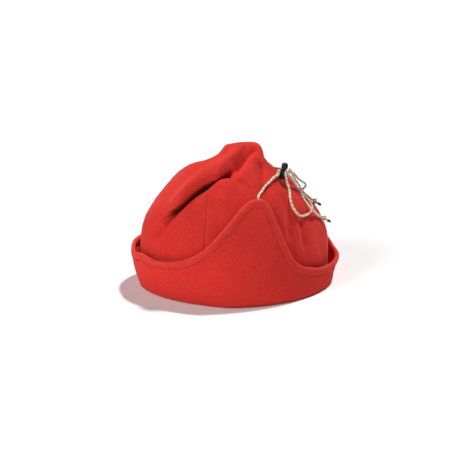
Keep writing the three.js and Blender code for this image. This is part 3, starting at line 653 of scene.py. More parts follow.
def soft_noise(points, length, seed):
    """Smooth wavy noise from a few fixed random waves, about -1 to 1."""
    rng = np.random.default_rng(seed)
    total = np.zeros(points.shape[:-1])
    for _ in range(NOISE_WAVES):
        way = unit(rng.normal(size=3))
        pitch = 2 * math.pi / length * rng.uniform(0.7, 1.3)
        total += np.sin((points @ way) * pitch + rng.uniform(0, 2 * math.pi))
    return total / (NOISE_WAVES / 2)


def uneven(points, waves):
    """How far soft unevenness moves each point of the cloth."""
    return sum(height * soft_noise(points, length, seed) for height, length, seed in waves)


def placed(points):
    """Points in metres, in the part's own place, from points in millimetres."""
    out = np.array(points).reshape(-1, 3) * MM
    out[:, 1] += CENTRE_Y * MM
    return out.tolist()


def linked(name, data):
    """A new object for some data, in the scene."""
    made = bpy.data.objects.new(name, data)
    bpy.context.scene.collection.objects.link(made)
    return made


def shade_smooth(mesh):
    mesh.polygons.foreach_set("use_smooth", [True] * len(mesh.polygons))


def outward(mesh):
    """Turns every face of a closed mesh outwards."""
    work = bmesh.new()
    work.from_mesh(mesh)
    bmesh.ops.recalc_face_normals(work, faces=work.faces)
    work.to_mesh(mesh)
    work.free()


def grid_piece(
    name, grid, material, uv, closed_rows=True, closed_columns=True, extra_faces=(), attributes=None
):
    """A closed piece from a grid of points, rows by columns, with its UV's two rulers in metres."""
    rows, columns = grid.shape[:2]
    i = np.arange(rows if closed_rows else rows - 1)
    j = np.arange(columns if closed_columns else columns - 1)
    i, j = (a.ravel() for a in np.meshgrid(i, j, indexing="ij"))
    i1 = (i + 1) % rows
    j1 = (j + 1) % columns
    faces = np.stack([i * columns + j, i * columns + j1, i1 * columns + j1, i1 * columns + j], -1)
    mesh = bpy.data.meshes.new(name)
    mesh.from_pydata(placed(grid), [], faces.tolist() + [list(f) for f in extra_faces])
    corner_rows = np.stack([i, i, i + 1, i + 1], -1).ravel()
    corner_columns = np.stack([j, j + 1, j + 1, j], -1).ravel()
    u, v = uv
    values = np.zeros((len(mesh.loops), 2))
    values[: len(corner_rows), 0] = u[np.minimum(corner_columns, len(u) - 1)]
    values[: len(corner_rows), 1] = v[np.minimum(corner_rows, len(v) - 1)]
    mesh.uv_layers.new(name="UVMap").data.foreach_set("uv", values.ravel())
    for key, data in (attributes or {}).items():
        attribute = mesh.attributes.new(key, "FLOAT", "POINT")
        attribute.data.foreach_set("value", np.asarray(data, float).ravel())
    mesh.validate()
    shade_smooth(mesh)
    mesh.materials.append(material)
    outward(mesh)
    return linked(name, mesh)


def end_caps(rows, columns):
    """Faces that close the first and last row of a tube's grid."""
    last = (rows - 1) * columns
    return [range(columns - 1, -1, -1), range(last, last + columns)]


def edge_faces(rows, columns):
    """Faces that close the two side edges of a grid whose rows go up one layer and down another."""
    faces = []
    for column in (0, columns - 1):
        for i in range(rows // 2 - 1):
            a, b = i * columns + column, (i + 1) * columns + column
            c, d = (rows - 2 - i) * columns + column, (rows - 1 - i) * columns + column
            faces.append((a, b, c, d) if column == 0 else (d, c, b, a))
    return faces


def there_and_back(ruler):
    """A UV ruler in metres, up one layer of a grid, down the other and back to the start."""
    return np.concatenate([ruler, ruler[::-1], ruler[:1]]) * MM


def grid_normals(grid, wrapped):
    up = np.gradient(grid, axis=0)
    around = np.roll(grid, -1, 1) - np.roll(grid, 1, 1) if wrapped else np.gradient(grid, axis=1)
    return unit(np.cross(around, up))


def bake_modifiers(piece):
    """Puts the result of a piece's modifiers in its mesh."""
    graph = bpy.context.evaluated_depsgraph_get()
    graph.update()
    mesh = bpy.data.meshes.new_from_object(piece.evaluated_get(graph), depsgraph=graph)
    piece.modifiers.clear()
    old = piece.data
    piece.data = mesh
    bpy.data.meshes.remove(old)


def feed(tree, socket, value):
    """Sets an input, or links it to another node's output."""
    if isinstance(value, bpy.types.NodeSocket):
        tree.links.new(value, socket)
    else:
        socket.default_value = value


def add_node(tree, kind, values=None, **settings):
    """A node with its settings and what feeds its inputs."""
    made = tree.nodes.new(kind)
    for key, value in settings.items():
        setattr(made, key, value)
    for key, value in (values or {}).items():
        feed(tree, made.inputs[key], value)
    return made


class Shader:
    """A node material being put together."""

    def __init__(self, name):
        self.material = bpy.data.materials.new(name)
        self.material.use_nodes = True
        self.tree = self.material.node_tree

    def node(self, kind, values=None, **settings):
        return add_node(self.tree, kind, values, **settings)

    def place(self):
        return self.node("ShaderNodeTexCoord").outputs["Object"]

    def uv(self):
        return self.node("ShaderNodeUVMap", uv_map="UVMap").outputs["UV"]

    def attribute(self, name):
        return self.node("ShaderNodeAttribute", attribute_name=name).outputs["Fac"]

    def math(self, operation, a, b=0.0):
        return self.node("ShaderNodeMath", {0: a, 1: b}, operation=operation).outputs[0]

    def noise(self, vector, scale, detail=2.0, roughness=0.5):
        values = {"Vector": vector, "Scale": scale, "Detail": detail, "Roughness": roughness}
        return self.node("ShaderNodeTexNoise", values).outputs["Fac"]

    def ramp(self, factor, low, high):
        values = {"Value": factor, "From Min": low, "From Max": high}
        made = self.node("ShaderNodeMapRange", values, interpolation_type="SMOOTHSTEP")
        return made.outputs["Result"]

    def mix(self, factor, a, b):
        return self.node("ShaderNodeMix", {0: factor, 6: a, 7: b}, data_type="RGBA").outputs[2]

    def bump(self, height, strength, distance, after=None):
        values = {"Height": height, "Strength": strength, "Distance": distance}
        if after is not None:
            values["Normal"] = after
        return self.node("ShaderNodeBump", values).outputs["Normal"]

    def surface(self, colour, roughness, normal, **sockets):
        """The finished material, with any further sockets of its shader."""
        shader = self.tree.nodes["Principled BSDF"]
        links = {"Base Color": colour, "Roughness": roughness, "Normal": normal, **sockets}
        for key, value in links.items():
            feed(self.tree, shader.inputs[key], value)
        return self.material


def finish(name, build, *values):
    """The finish of that name, put together the first time it is asked for."""
    return bpy.data.materials.get(name) or build(Shader(name), *values)


def fleece(s, colour):
    """Brushed fleece: mottled pile, faint knit, fuzzier and paler at worn edges, painted shade in the fold.
    """
    place = s.place()
    clumps = s.noise(place, 520, 3)
    pile = s.noise(place, 1300, 4, 0.6)
    broad = s.noise(place, 26, 2)
    knit = {"Vector": s.uv(), "Scale": 300.0, "Distortion": 3.0, "Detail": 2.0, "Detail Scale": 3.0}
    wales = s.node("ShaderNodeTexWave", knit, bands_direction="X").outputs["Fac"]
    shade, worn = colours().fleece_shade, colours().fleece_worn
    red = s.mix(s.ramp(clumps, 0.35, 0.65), s.mix(0.55, shade, colour), colour)
    red = s.mix(s.math("MULTIPLY", s.ramp(broad, 0.35, 0.7), 0.18), red, shade)
    red = s.mix(s.math("MULTIPLY", s.ramp(pile, 0.45, 0.85), 0.1), red, worn)
    red = s.mix(s.math("MULTIPLY", s.attribute("worn"), 0.12), red, worn)
    # Painted shade: the cloth inside the fold is darkened towards a near-black red
    red = s.mix(s.attribute("painted_fold_shade"), red, colours().fleece_painted_shade)
    normal = s.bump(wales, 0.06, 0.0002)
    normal = s.bump(clumps, 0.18, 0.001, normal)
    normal = s.bump(pile, 0.4, 0.0003, normal)
    rough = s.math("ADD", s.math("MULTIPLY", clumps, 0.1), 0.88)
    sheen = {"Sheen Weight": 0.12, "Sheen Roughness": 0.45, "Sheen Tint": (1.0, 0.42, 0.36, 1)}
    return s.surface(red, rough, normal, **sheen, **{"Specular IOR Level": 0.12})


def sewing_thread(s):
    """Spun sewing thread, twisted along each stitch."""
    place = s.place()
    waves = {"Vector": place, "Scale": 1400.0, "Distortion": 2.0}
    twist = s.node("ShaderNodeTexWave", waves).outputs["Fac"]
    shade = s.mix(s.noise(place, 900, 2), colours().thread, colours().fleece_shade)
    return s.surface(shade, 0.6, s.bump(twist, 0.5, 0.0001), **{"Sheen Weight": 0.2})


def braided_cord(s):
    """Braided elastic cord: pale cover with a dark tracer yarn that shows where it passes over."""
    parts = s.node("ShaderNodeSeparateXYZ", {"Vector": s.uv()})
    along, around = parts.outputs["X"], parts.outputs["Y"]
    place = s.place()

    def strand(sign, start, width):
        turns = s.math("ADD", s.math("DIVIDE", along, TRACER_PITCH), start)
        phase = s.math("FRACT", s.math("ADD", s.math("MULTIPLY", around, sign), turns))
        return s.ramp(s.math("ABSOLUTE", s.math("SUBTRACT", phase, 0.5)), width, width * 0.4)

    worn = s.ramp(s.noise(place, 150, 2), 0.3, 0.6)
    crossing = s.math("MULTIPLY", strand(-1.0, 0.5, 0.13), worn)
    tracer = s.math("MAXIMUM", strand(1.0, 0.0, 0.16), crossing)
    base = s.mix(s.noise(place, 700, 3), colours().cord, colours().cord_shade)
    colour = s.mix(s.math("MULTIPLY", tracer, 0.62), base, colours().cord_fleck)
    normal = s.bump(s.noise(place, 3200, 3, 0.6), 0.5, 0.0001)
    return s.surface(colour, 0.78, normal, **{"Sheen Weight": 0.25, "Sheen Roughness": 0.4})


def sealed_end(s):
    """Cord end sealed by heat: dark, hard and slightly uneven."""
    lumps = s.noise(s.place(), 900, 3)
    colour = s.mix(s.ramp(lumps, 0.4, 0.7), colours().tip, colours().tip_pale)
    rough = s.math("ADD", s.math("MULTIPLY", lumps, 0.3), 0.25)
    return s.surface(colour, rough, s.bump(lumps, 0.6, 0.0003))


def lock_plastic(s):
    """Moulded plastic with a fine satin grain and light scuffs."""
    place = s.place()
    grain = s.noise(place, 4200, 2)
    scuffs = s.ramp(s.noise(place, 620, 4, 0.7), 0.58, 0.72)
    colour = s.mix(s.math("MULTIPLY", scuffs, 0.3), colours().plastic, colours().plastic_scuff)
    satin = s.math("ADD", s.math("MULTIPLY", grain, 0.1), 0.32)
    rough = s.math("ADD", s.math("MULTIPLY", scuffs, 0.2), satin)
    normal = s.bump(grain, 0.25, 0.00005)
    return s.surface(colour, rough, normal, **{"Specular IOR Level": 0.28})


def floor_paint(s):
    """Matt pale floor with a faint cloudiness."""
    place = s.place()
    clouds = s.math("MULTIPLY", s.noise(place, 6, 2), 0.03)
    paint = s.mix(clouds, colours().floor, colours().floor_cloud)
    return s.surface(paint, 0.9, s.bump(s.noise(place, 900, 2), 0.02, 0.0001))


def dress(piece, slot, *nodes, body=HAT):
    """Ties a piece to its body and the solids that it stands for; the finish that it is given is not used.
    """
    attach(piece, body)
    if nodes:
        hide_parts(*nodes)
    return piece


# ---- Properties ----
def length_property(name, description, default):
    return bpy.props.FloatProperty(
        name=name, description=description, default=default, min=0, unit="LENGTH"
    )


def angle_property(name, description, degrees):
    return bpy.props.FloatProperty(
        name=name, description=description, default=degrees * DEG, subtype="ANGLE"
    )


def share_property(name, description, default):
    return bpy.props.FloatProperty(
        name=name, description=description, default=default, subtype="FACTOR", min=-1, max=1
    )


def colour_property(name, description, default):
    return bpy.props.FloatVectorProperty(
        name=name, description=description, default=default, size=4, min=0, max=1, subtype="COLOR"
    )


class BeanieSizes(bpy.types.PropertyGroup):
    cloth: length_property("Crown cloth", "Thickness of the crown's fleece", 0.0026)
    cuff_cloth: length_property("Cuff cloth", "Thickness of the turned-up fleece", 0.003)
    seam_round: length_property("Seam rounding", "Radius of each panel's edge at a seam", 0.0015)
    hem_half_width: length_property("Hem half width", "Half the hem, square to the rim", 0.0041)
    hem_half_thickness: length_property("Hem half thickness", "Half the hem's thickness", 0.0029)
    stitch_pitch: length_property("Stitch pitch", "From one hem stitch to the next", 0.0034)
    stitch_length: length_property("Stitch length", "Thread that shows of each stitch", 0.0025)
    thread: length_property("Thread", "Thickness of the sewing thread", 0.00055)
    cord: length_property("Cord", "Diameter of the elastic cord", 0.0026)


class BeanieColours(bpy.types.PropertyGroup):
    fleece: colour_property("Fleece", "Lit fleece", (0.68, 0.034, 0.025, 1))
    fleece_shade: colour_property("Fleece shade", "Between clumps of pile", (0.47, 0.016, 0.013, 1))
    fleece_worn: colour_property("Fleece, worn", "Raised and rubbed pile", (0.8, 0.13, 0.09, 1))
    # Colour of the painted shade inside the fold
    fleece_painted_shade: colour_property("Fleece, deep", "Cloth inside the fold", (0.16, 0.004, 0.004, 1))
    hem: colour_property("Hem", "Lit colour of the hem", (0.69, 0.042, 0.031, 1))
    thread: colour_property("Thread", "The hem's thread", (0.55, 0.025, 0.02, 1))
    cord: colour_property("Cord", "The cord's cover", (0.84, 0.76, 0.6, 1))
    cord_shade: colour_property("Cord shade", "Deeper in the cord's cover", (0.66, 0.55, 0.4, 1))
    cord_fleck: colour_property("Cord fleck", "The cord's tracer yarn", (0.09, 0.075, 0.055, 1))
    tip: colour_property("Cord tip", "The sealed cord ends", (0.02, 0.017, 0.015, 1))
    tip_pale: colour_property("Cord tip, pale", "Streaks of the cord ends", (0.09, 0.07, 0.055, 1))
    plastic: colour_property("Lock plastic", "The cord lock", (0.006, 0.0065, 0.008, 1))
    plastic_scuff: colour_property("Lock scuffs", "Scuffs on the lock", (0.03, 0.032, 0.037, 1))
    floor: colour_property("Floor", "Colour of the floor", (0.96, 0.96, 0.96, 1))
    floor_cloud: colour_property("Floor clouds", "Faint clouds on the floor", (0.9, 0.9, 0.9, 1))


class BeanieStage(bpy.types.PropertyGroup):
    azimuth: angle_property("Azimuth", "Camera's turn round the hat", 75)
    elevation: angle_property("Elevation", "Camera's angle above the floor", 20)
    distance: length_property("Distance", "Camera's distance from the hat", 1.7)
    width: length_property("View width", "Width that the camera sees at the hat", 0.50885)
    shift_across: share_property("Shift across", "Camera's shift, as a share of the view", -0.01087)
    shift_up: share_property("Shift up", "Camera's shift up, as a share of the view", 0.10761)


# ---- The stage's camera ----
def view_axes(azimuth, elevation=0.0):
    """Right, up and back, as seen from a turn round the hat and an angle above the floor."""
    level = Vector((math.sin(azimuth), -math.cos(azimuth), 0))
    back = level * math.cos(elevation) + Vector((0, 0, math.sin(elevation)))
    right = Vector((math.cos(azimuth), math.sin(azimuth), 0))
    return right, back.cross(right), back


class MakeCamera(bpy.types.Operator):
    """Place the camera that looks at the hat's left side"""

    bl_idname = "beanie.camera"
    bl_label = "Camera"

    def execute(self, context):
        stage = context.scene.beanie_stage
        right, up, back = view_axes(stage.azimuth, stage.elevation)
        data = bpy.data.cameras.new("camera")
        data.sensor_width = SENSOR
        data.lens = SENSOR * stage.distance / stage.width
        data.shift_x = stage.shift_across
        data.shift_y = stage.shift_up
        camera = linked("camera", data)
        place = back * stage.distance + Vector((0, CENTRE_Y * MM, 0))
        turn = Matrix((right, up, back)).transposed().to_4x4()
        camera.matrix_world = Matrix.Translation(place) @ turn
        context.scene.camera = camera
        return {"FINISHED"}


# ---- Cords ----
def lock_basis():
    """The lock's foot, the way of the cords through it, its axis and its side."""
    axis = unit(np.array(LOCK_LEAN))
    through = np.array(LOCK_THROUGH)
    through = unit(through - axis * (through @ axis))
    side = np.cross(through, axis)
    foot = on_crown((*LOCK_AT, 0)) + axis * LOCK_SEAT
    return foot, through, axis, side


def lock_point(across, height):
    foot, through, axis, _ = lock_basis()
    return foot + through * across + axis * height


def smooth_route(points, step):
    """Points closely spaced on a centripetal curve through the given ones."""
    pts = np.array(points, float)
    pts = np.vstack([2 * pts[0] - pts[1], pts, 2 * pts[-1] - pts[-2]])
    line = []
    for k in range(1, len(pts) - 2):
        p0, p1, p2, p3 = pts[k - 1 : k + 3]
        d0, d1, d2 = (math.sqrt(np.linalg.norm(b - a)) for a, b in ((p0, p1), (p1, p2), (p2, p3)))
        t1 = ((p1 - p0) / d0 - (p2 - p0) / (d0 + d1) + (p2 - p1) / d1) * d1
        t2 = ((p2 - p1) / d1 - (p3 - p1) / (d1 + d2) + (p3 - p2) / d2) * d1
        shares = np.linspace(0, 1, ROUTE_STEPS, endpoint=False)
        line += [between(t, p1, p2, t1, t2) for t in shares]
    line = np.array([*line, pts[-2]])
    run = run_along(line)
    at = np.linspace(0, run[-1], max(2, round(run[-1] / step)) + 1)
    return np.stack([np.interp(at, run, line[:, i]) for i in range(3)], -1)


def relaxed(line, passes):
    """Eases the tightest bends of a finely spaced line; its ends stay."""
    line = line.copy()
    for _ in range(passes):
        line[1:-1] = (line[:-2] + 2 * line[1:-1] + line[2:]) / 4
    return line


def carried_frames(line, closed=False):
    """A frame at each point of a line that turns as little as it can."""
    if closed:
        tangents = unit(np.roll(line, -1, 0) - np.roll(line, 1, 0))
    else:
        tangents = unit(np.gradient(line, axis=0))
    first = np.cross(tangents[0], (0, 0, 1.0))
    if np.linalg.norm(first) < 0.1:
        first = np.cross(tangents[0], (1.0, 0, 0))
    sides = [unit(first)]
    for t in tangents[1:]:
        sides.append(unit(sides[-1] - t * (sides[-1] @ t)))
    sides = np.array(sides)
    if closed:
        last = unit(sides[-1] - tangents[0] * (sides[-1] @ tangents[0]))
        twist = math.atan2(np.cross(last, sides[0]) @ tangents[0], last @ sides[0])
        turn = np.linspace(0, twist, len(line), endpoint=False)[:, None]
        sides = sides * np.cos(turn) + np.cross(tangents, sides) * np.sin(turn)
    return tangents, sides, np.cross(tangents, sides)


def ring_grid(line, side, other, radius, count):
    """A ring of points round each point of a line, in the plane of its two directions."""
    turn = 2 * math.pi * np.arange(count) / count
    ring = side[:, None] * np.cos(turn)[:, None] + other[:, None] * np.sin(turn)[:, None]
    return line[:, None] + ring * radius[..., None]


def braided_tube(name, line, diameter, closed=False):
    """A cord's tube along a line, with the relief of its braid."""
    _, side, other = carried_frames(line, closed)
    along = run_along(line)
    turn = 2 * math.pi * np.arange(CORD_SIDES) / CORD_SIDES
    lay = 2 * math.pi * along[:, None] / BRAID_LAY
    strands = BRAID_STRANDS * turn
    relief = np.maximum(np.cos(strands + lay), np.cos(strands - lay))
    radius = diameter / 2 * (BRAID_BASE + BRAID_RELIEF * relief)
    if not closed:
        end = np.minimum(along, along[-1] - along)
        radius = radius * np.sqrt(np.clip(end / CORD_END_ROUND, 0.02, 1))[:, None]
    grid = ring_grid(line, side, other, radius, CORD_SIDES)
    caps = [] if closed else end_caps(len(line), CORD_SIDES)
    uv = (np.arange(CORD_SIDES + 1) / CORD_SIDES, np.append(along, along[-1] + 0.5) * MM)
    cover = finish("braided cord", braided_cord)
    piece = grid_piece(name, grid, cover, uv, closed_rows=closed, extra_faces=caps)
    layer = piece.data.uv_layers[0].data
    values = np.zeros(len(layer) * 2)
    layer.foreach_get("uv", values)
    layer.foreach_set("uv", values.reshape(-1, 2)[:, ::-1].ravel())
    return piece


def at_knot(knot_place, before):
    """Where a cord ends just short of its knot."""
    knot = on_crown(knot_place)
    towards = unit(on_crown(before) - knot)
    return knot + towards * (KNOT_RADIUS + CORD_GAP)


def in_lock(heading, height):
    """A cord's straight way from the lock's axis to clear of its barrel, ahead or behind."""
    reaches = (0, LOCK_RADIUS, LOCK_RADIUS + CORD_APPROACH)
    return [lock_point(heading * reach, height) for reach in reaches]


def cord_lines():
    """The four free stretches of cord, and the points that each follows."""
    lines = {}
    for side, port, flap_route, end_route, knot, _ in CORDS:
        lines[f"{side}_cord"] = [*map(on_crown, flap_route), *in_lock(-1, port)[::-1]]
        to_knot = [*map(on_crown, end_route), at_knot(knot, end_route[-1]), on_crown(knot)]
        lines[f"{side}_cord_end"] = [*in_lock(1, port), *to_knot]
    return lines


class MakeCords(bpy.types.Operator):
    """Lay the two elastic cords from the flaps through the lock to their knots"""

    bl_idname = "beanie.cords"
    bl_label = "Cords"

    def execute(self, context):
        for name, points in cord_lines().items():
            line = relaxed(smooth_route(points, CORD_STEP), BEND_PASSES)
            piece = braided_tube(f"{name}_braid", line, sizes().cord / MM)
            piece["length"] = run_along(line)[-1] * MM
            path = placed(line[:-1:PATH_EVERY]) + placed(line[-1:])
            piece["path"] = [x for point in path for x in point]
            dress(piece, "cord", name)
        return {"FINISHED"}


def beside(way):
    """A direction square to a way."""
    return unit(np.cross(way, (0.3, 0.2, 1.0)))


def knot_line(centre, way):
    """An overhand knot drawn tight: a trefoil lying across the cord's way."""
    t = np.linspace(0, 2 * math.pi, KNOT_STEPS, endpoint=False)
    ring = KNOT_RING + KNOT_SWING * np.cos(3 * t)
    local = np.stack([ring * np.cos(2 * t), ring * np.sin(2 * t), KNOT_RISE * np.sin(3 * t)], -1)
    up = beside(way)
    side = np.cross(up, way)
    return centre + local[:, :1] * way + local[:, 1:2] * side + local[:, 2:] * up


def joined(name, pieces):
    """One piece from several, their own objects removed."""
    work = bmesh.new()
    for piece in pieces:
        work.from_mesh(piece.data)
    mesh = bpy.data.meshes.new(name)
    work.to_mesh(mesh)
    work.free()
    for material in pieces[0].data.materials:
        mesh.materials.append(material)
    for piece in pieces:
        bpy.data.objects.remove(piece)
    return linked(name, mesh)


def lathe(name, profile, basis, material, count):
    """A turned piece from (radius, height) rows, closed on its axis at both ends."""
    foot, x, axis, y = basis
    rows = np.array(profile, float)
    middle = foot + rows[:, 1:] * axis
    x, y = (np.broadcast_to(way, middle.shape) for way in (x, y))
    grid = ring_grid(middle, x, y, np.repeat(rows[:, :1], count, axis=1), count)
    uv = (np.linspace(0, LATHE_UV_ROUND, count + 1), run_along(rows) * MM)
    caps = end_caps(len(rows), count)
    return grid_piece(name, grid, material, uv, closed_rows=False, extra_faces=caps)


def rounded(corners, steps=5):
    """A turned profile with its corners rounded: rows of radius, height, rounding."""
    rows = []
    pts = np.array([c[:2] for c in corners], float)
    for k, corner in enumerate(corners):
        if corner[2] == 0 or k in (0, len(corners) - 1):
            rows.append(pts[k])
            continue
        a = unit(pts[k - 1] - pts[k]) * corner[2]
        b = unit(pts[k + 1] - pts[k]) * corner[2]
        for t in np.linspace(0, 1, steps + 1):
            rows.append(pts[k] + a * (1 - t) ** 2 + b * t**2)
    return rows


class MakeCordEnds(bpy.types.Operator):
    """Tie the knots and seal the ends of the two cords"""

    bl_idname = "beanie.cord_ends"
    bl_label = "Cord knots and tips"

    def execute(self, context):
        for side, _, _, _, knot_at, tip_at in CORDS:
            knot = on_crown(knot_at)
            way = unit(on_crown(tip_at) - knot)
            turns = braided_tube(f"{side}_knot_turns", knot_line(knot, way), KNOT_CORD, closed=True)
            reaches = np.linspace(NECK_FROM, KNOT_RADIUS + NECK_PAST, NECK_STEPS)
            neck = braided_tube(f"{side}_knot_neck", knot + way * reaches[:, None], NECK_CORD)
            dress(joined(f"{side}_cord_overhand_knot", [turns, neck]), "cord", f"{side}_cord_knot")
            basis = (knot + way * (KNOT_RADIUS + TIP_PAST), beside(way), way, np.cross(beside(way), way))
            dark = finish("sealed cord end", sealed_end)
            tip = lathe(f"{side}_cord_sealed_tip", rounded(TIP_PROFILE), basis, dark, TIP_SIDES)
            dress(tip, "cord_tip", f"{side}_cord_tip")
        return {"FINISHED"}


# ---- Cord lock ----
def slotted(name, rows, width, low, high):
    """A turned piece of the lock, with the cords' slot cut right through it."""
    basis = lock_basis()
    foot, through, axis, side = basis
    piece = lathe(name, rows, basis, finish("lock plastic", lock_plastic), LOCK_SIDES)
    corners = [
        foot + through * SLOT_REACH * a + side * (width / 2) * b + axis * height
        for height in (low, high)
        for a, b in ((-1, -1), (1, -1), (1, 1), (-1, 1))
    ]
    faces = [(0, 1, 2, 3), (7, 6, 5, 4), (0, 4, 5, 1), (1, 5, 6, 2), (2, 6, 7, 3), (3, 7, 4, 0)]
    mesh = bpy.data.meshes.new("slot")
    mesh.from_pydata(placed(corners), [], faces)
    outward(mesh)
    cutter = linked("slot", mesh)
    modifier = piece.modifiers.new("slot", "BOOLEAN")
    modifier.operation = "DIFFERENCE"
    modifier.solver = "EXACT"
    modifier.object = cutter
    bake_modifiers(piece)
    bpy.data.objects.remove(cutter)
    shade_smooth(piece.data)
    piece.data.set_sharp_from_angle(angle=LOCK_SHARP)
    return piece


class MakeCordLock(bpy.types.Operator):
    """Build the cord lock's slotted barrel and its sprung plunger with a domed button"""

    bl_idname = "beanie.cord_lock"
    bl_label = "Cord lock"

    def execute(self, context):
        r, h = LOCK_RADIUS, LOCK_HEIGHT
        barrel_rows = rounded([
            (LOCK_AXIS, 0, 0), (r, 0, 1.3), *((r - depth, at, 0) for at, depth in LOCK_GROOVE),
            (r, h - 1.1, 0), (r - 0.3, h, 0.6), (LOCK_BORE, h, 0.25), (LOCK_BORE, LOCK_FLOOR, 0),
            (LOCK_AXIS, LOCK_FLOOR, 0),
        ])
        barrel = slotted("lock_barrel_moulding", barrel_rows, SLOT_WIDTH, SLOT_LOW, SLOT_HIGH)
        dress(barrel, "lock_plastic", "cord_lock_barrel")
        stem = rounded([
            (LOCK_AXIS, STEM_LOW, 0), (STEM_RADIUS, STEM_LOW, 0.3), (STEM_RADIUS, CAP_LOW, 0.1),
            (CAP_RADIUS, CAP_LOW, 0.5), (CAP_RADIUS, CAP_HEIGHT - 0.3, 0),
        ])
        button = [
            (CAP_RADIUS * math.cos(a), CAP_HEIGHT + CAP_RADIUS * math.sin(a))
            for a in np.linspace(0, math.pi / 2 - 0.01, BUTTON_STEPS)
        ]
        plunger = slotted(
            "lock_plunger_moulding", stem + button,
            SLOT_WIDTH - SLOT_EASE, STEM_LOW - 1, SLOT_HIGH + SLOT_SPARE,
        )
        dress(plunger, "lock_plastic", "cord_lock_plunger", body=PLUNGER)
        return {"FINISHED"}


# ---- Crown, cuff and hem ----
def panel_columns(start, end):
    """Angles across a panel, close together beside its seams."""
    near = np.degrees(np.array(SEAM_STEPS) / SEAM_STEPS_RADIUS)
    inset = near[-1] + COLUMN_GAP
    middle = np.linspace(start + inset, end - inset, max(8, round((end - start) / COLUMN_STEP)))
    return np.concatenate([start + near, middle, end - near[::-1]])


def crown_skin(degrees, lean_start, lean_end):
    """Outer cloth of a panel between seams that lean below the crease: its points, the width of a
    radian there, and the distance above the crease."""
    below, above = CROWN_ROWS
    rows = np.concatenate([np.linspace(-1, 0, below)[:-1], np.linspace(0, 1, above)])
    across = (degrees - degrees[0]) / (degrees[-1] - degrees[0])
    lean = lean_start * (1 - across) + lean_end * across
    down = np.maximum(-rows, 0)[:, None] ** ROW_POWER
    angle = (degrees + lean * (1 - np.exp(-down / SEAM_LEAN_ROW))) * DEG
    row = rows[:, None] + 0 * angle
    crease = crease_arc(angle / DEG)
    room = np.where(row < 0, crease - arc_at(CROWN_EDGE), TOP - crease)
    reach = room * np.abs(row) ** ROW_POWER
    arc = crease + np.sign(row) * reach
    around = dome(angle + DEG, arc)[0] - dome(angle - DEG, arc)[0]
    width = np.linalg.norm(around, axis=-1) / (2 * DEG)
    return cloth(angle, reach, row >= 0), width, reach * np.sign(row)


def sewn_relief(outer, to_seam, mark):
    """How far a panel's outer face lies off its plain place: soft, and turned in at its seams."""
    turn_in = sizes().seam_round / MM
    inside = np.clip(1 - to_seam / turn_in, 0, 1)
    dip = turn_in * (1 - np.sqrt(np.maximum(1 - inside**2, 0.0)))
    height, middle, spread = SEAM_SWELL
    return uneven(outer, CROWN_WAVES) + (height * hump(to_seam, middle, spread) - dip) * mark


class MakeCrown(bpy.types.Operator):
    """Sew the crown's four fleece panels"""

    bl_idname = "beanie.crown"
    bl_label = "Crown"

    def execute(self, context):
        red = finish("brushed fleece", fleece, colours().fleece)
        for k, name in enumerate(PANELS):
            after = (k + 1) % len(PANELS)
            start, end = SEAMS[k], SEAMS[after] + (360 if after == 0 else 0)
            degrees = panel_columns(start, end)
            outer, width, run = crown_skin(degrees, SEAM_LEANS[k], SEAM_LEANS[after])
            side = smooth(*TOP_FLAT, TOP - crease_arc(degrees)[None] - run)
            normals = grid_normals(outer, False) * side[..., None]
            normals = unit(normals + np.array([0, 0, 1.0]) * (1 - side[..., None]))
            to_seam = np.minimum(degrees - start, end - degrees)[None] * DEG * width
            mark = np.where(degrees * 2 < start + end, SEAM_MARKS[k], SEAM_MARKS[after])
            mark = mark * (1 - MARK_LOST * smooth(*MARK_FADE, run))
            inner = outer - normals * sizes().cloth / MM
            outer = outer + normals * sewn_relief(outer, to_seam, mark * side)[..., None]
            grid = np.concatenate([outer, inner[::-1]])
            fold = fold_at(wrap(degrees))[None]
            share, middle, spread = ROLL_WEAR
            worn = hump(to_seam, 0, SEAM_WEAR) * mark + share * hump(run, middle, spread) * fold
            # Painted shade inside the fold: under the roll's lip and on the tucked sheet below it
            under = smooth(*PAINTED_SHADE_BELOW, run * gathered(degrees)) * smooth(*PAINTED_SHADE_FOLD, fold)
            painted_fold_shade = (1 - smooth(*PAINTED_SHADE_ABOVE, run)) * under
            seen = {"worn": worn, "painted_fold_shade": painted_fold_shade}
            piece = grid_piece(
                f"{name}_fleece", grid, red,
                (degrees * DEG * PANEL_UV_RADIUS, there_and_back(run[:, 0])),
                closed_columns=False, extra_faces=edge_faces(*grid.shape[:2]),
                attributes={key: np.concatenate([on, 0 * on]) for key, on in seen.items()},
            )
            dress(piece, "fleece", name)
        return {"FINISHED"}


def cuff_middle(degrees):
    """Middle layer of the cuff: inner edge, fold at the table, then up to the hem."""
    level = 0 * degrees
    rows = [
        off_dome(degrees, arc_at(height) + level, CUFF_INNER_OUT + level)
        for height in np.linspace(CUFF_INNER_TOP, CUFF_INNER_LOW, CUFF_INNER_ROWS)
    ]
    outer = cuff_out(degrees, level)
    for a in np.linspace(0, math.pi, CUFF_FOLD_ROWS)[1:-1]:
        out = (outer + CUFF_INNER_OUT) / 2 - (outer - CUFF_INNER_OUT) / 2 * math.cos(a)
        rows.append(off_dome(degrees, CUFF_FOLD_HEIGHT - CUFF_FOLD_DROP * math.sin(a) + level, out))
    edge_degrees, edge_arc = below_rim(degrees, HEM_EDGE - CUFF_UNDER_HEM)
    for share in CUFF_OUTER_SHARES:
        at = degrees + (edge_degrees - degrees) * share**CUFF_OUTER_POWER
        rows.append(on_cuff(at, CUFF_FOLD_HEIGHT + (edge_arc - CUFF_FOLD_HEIGHT) * share))
    return np.array(rows)


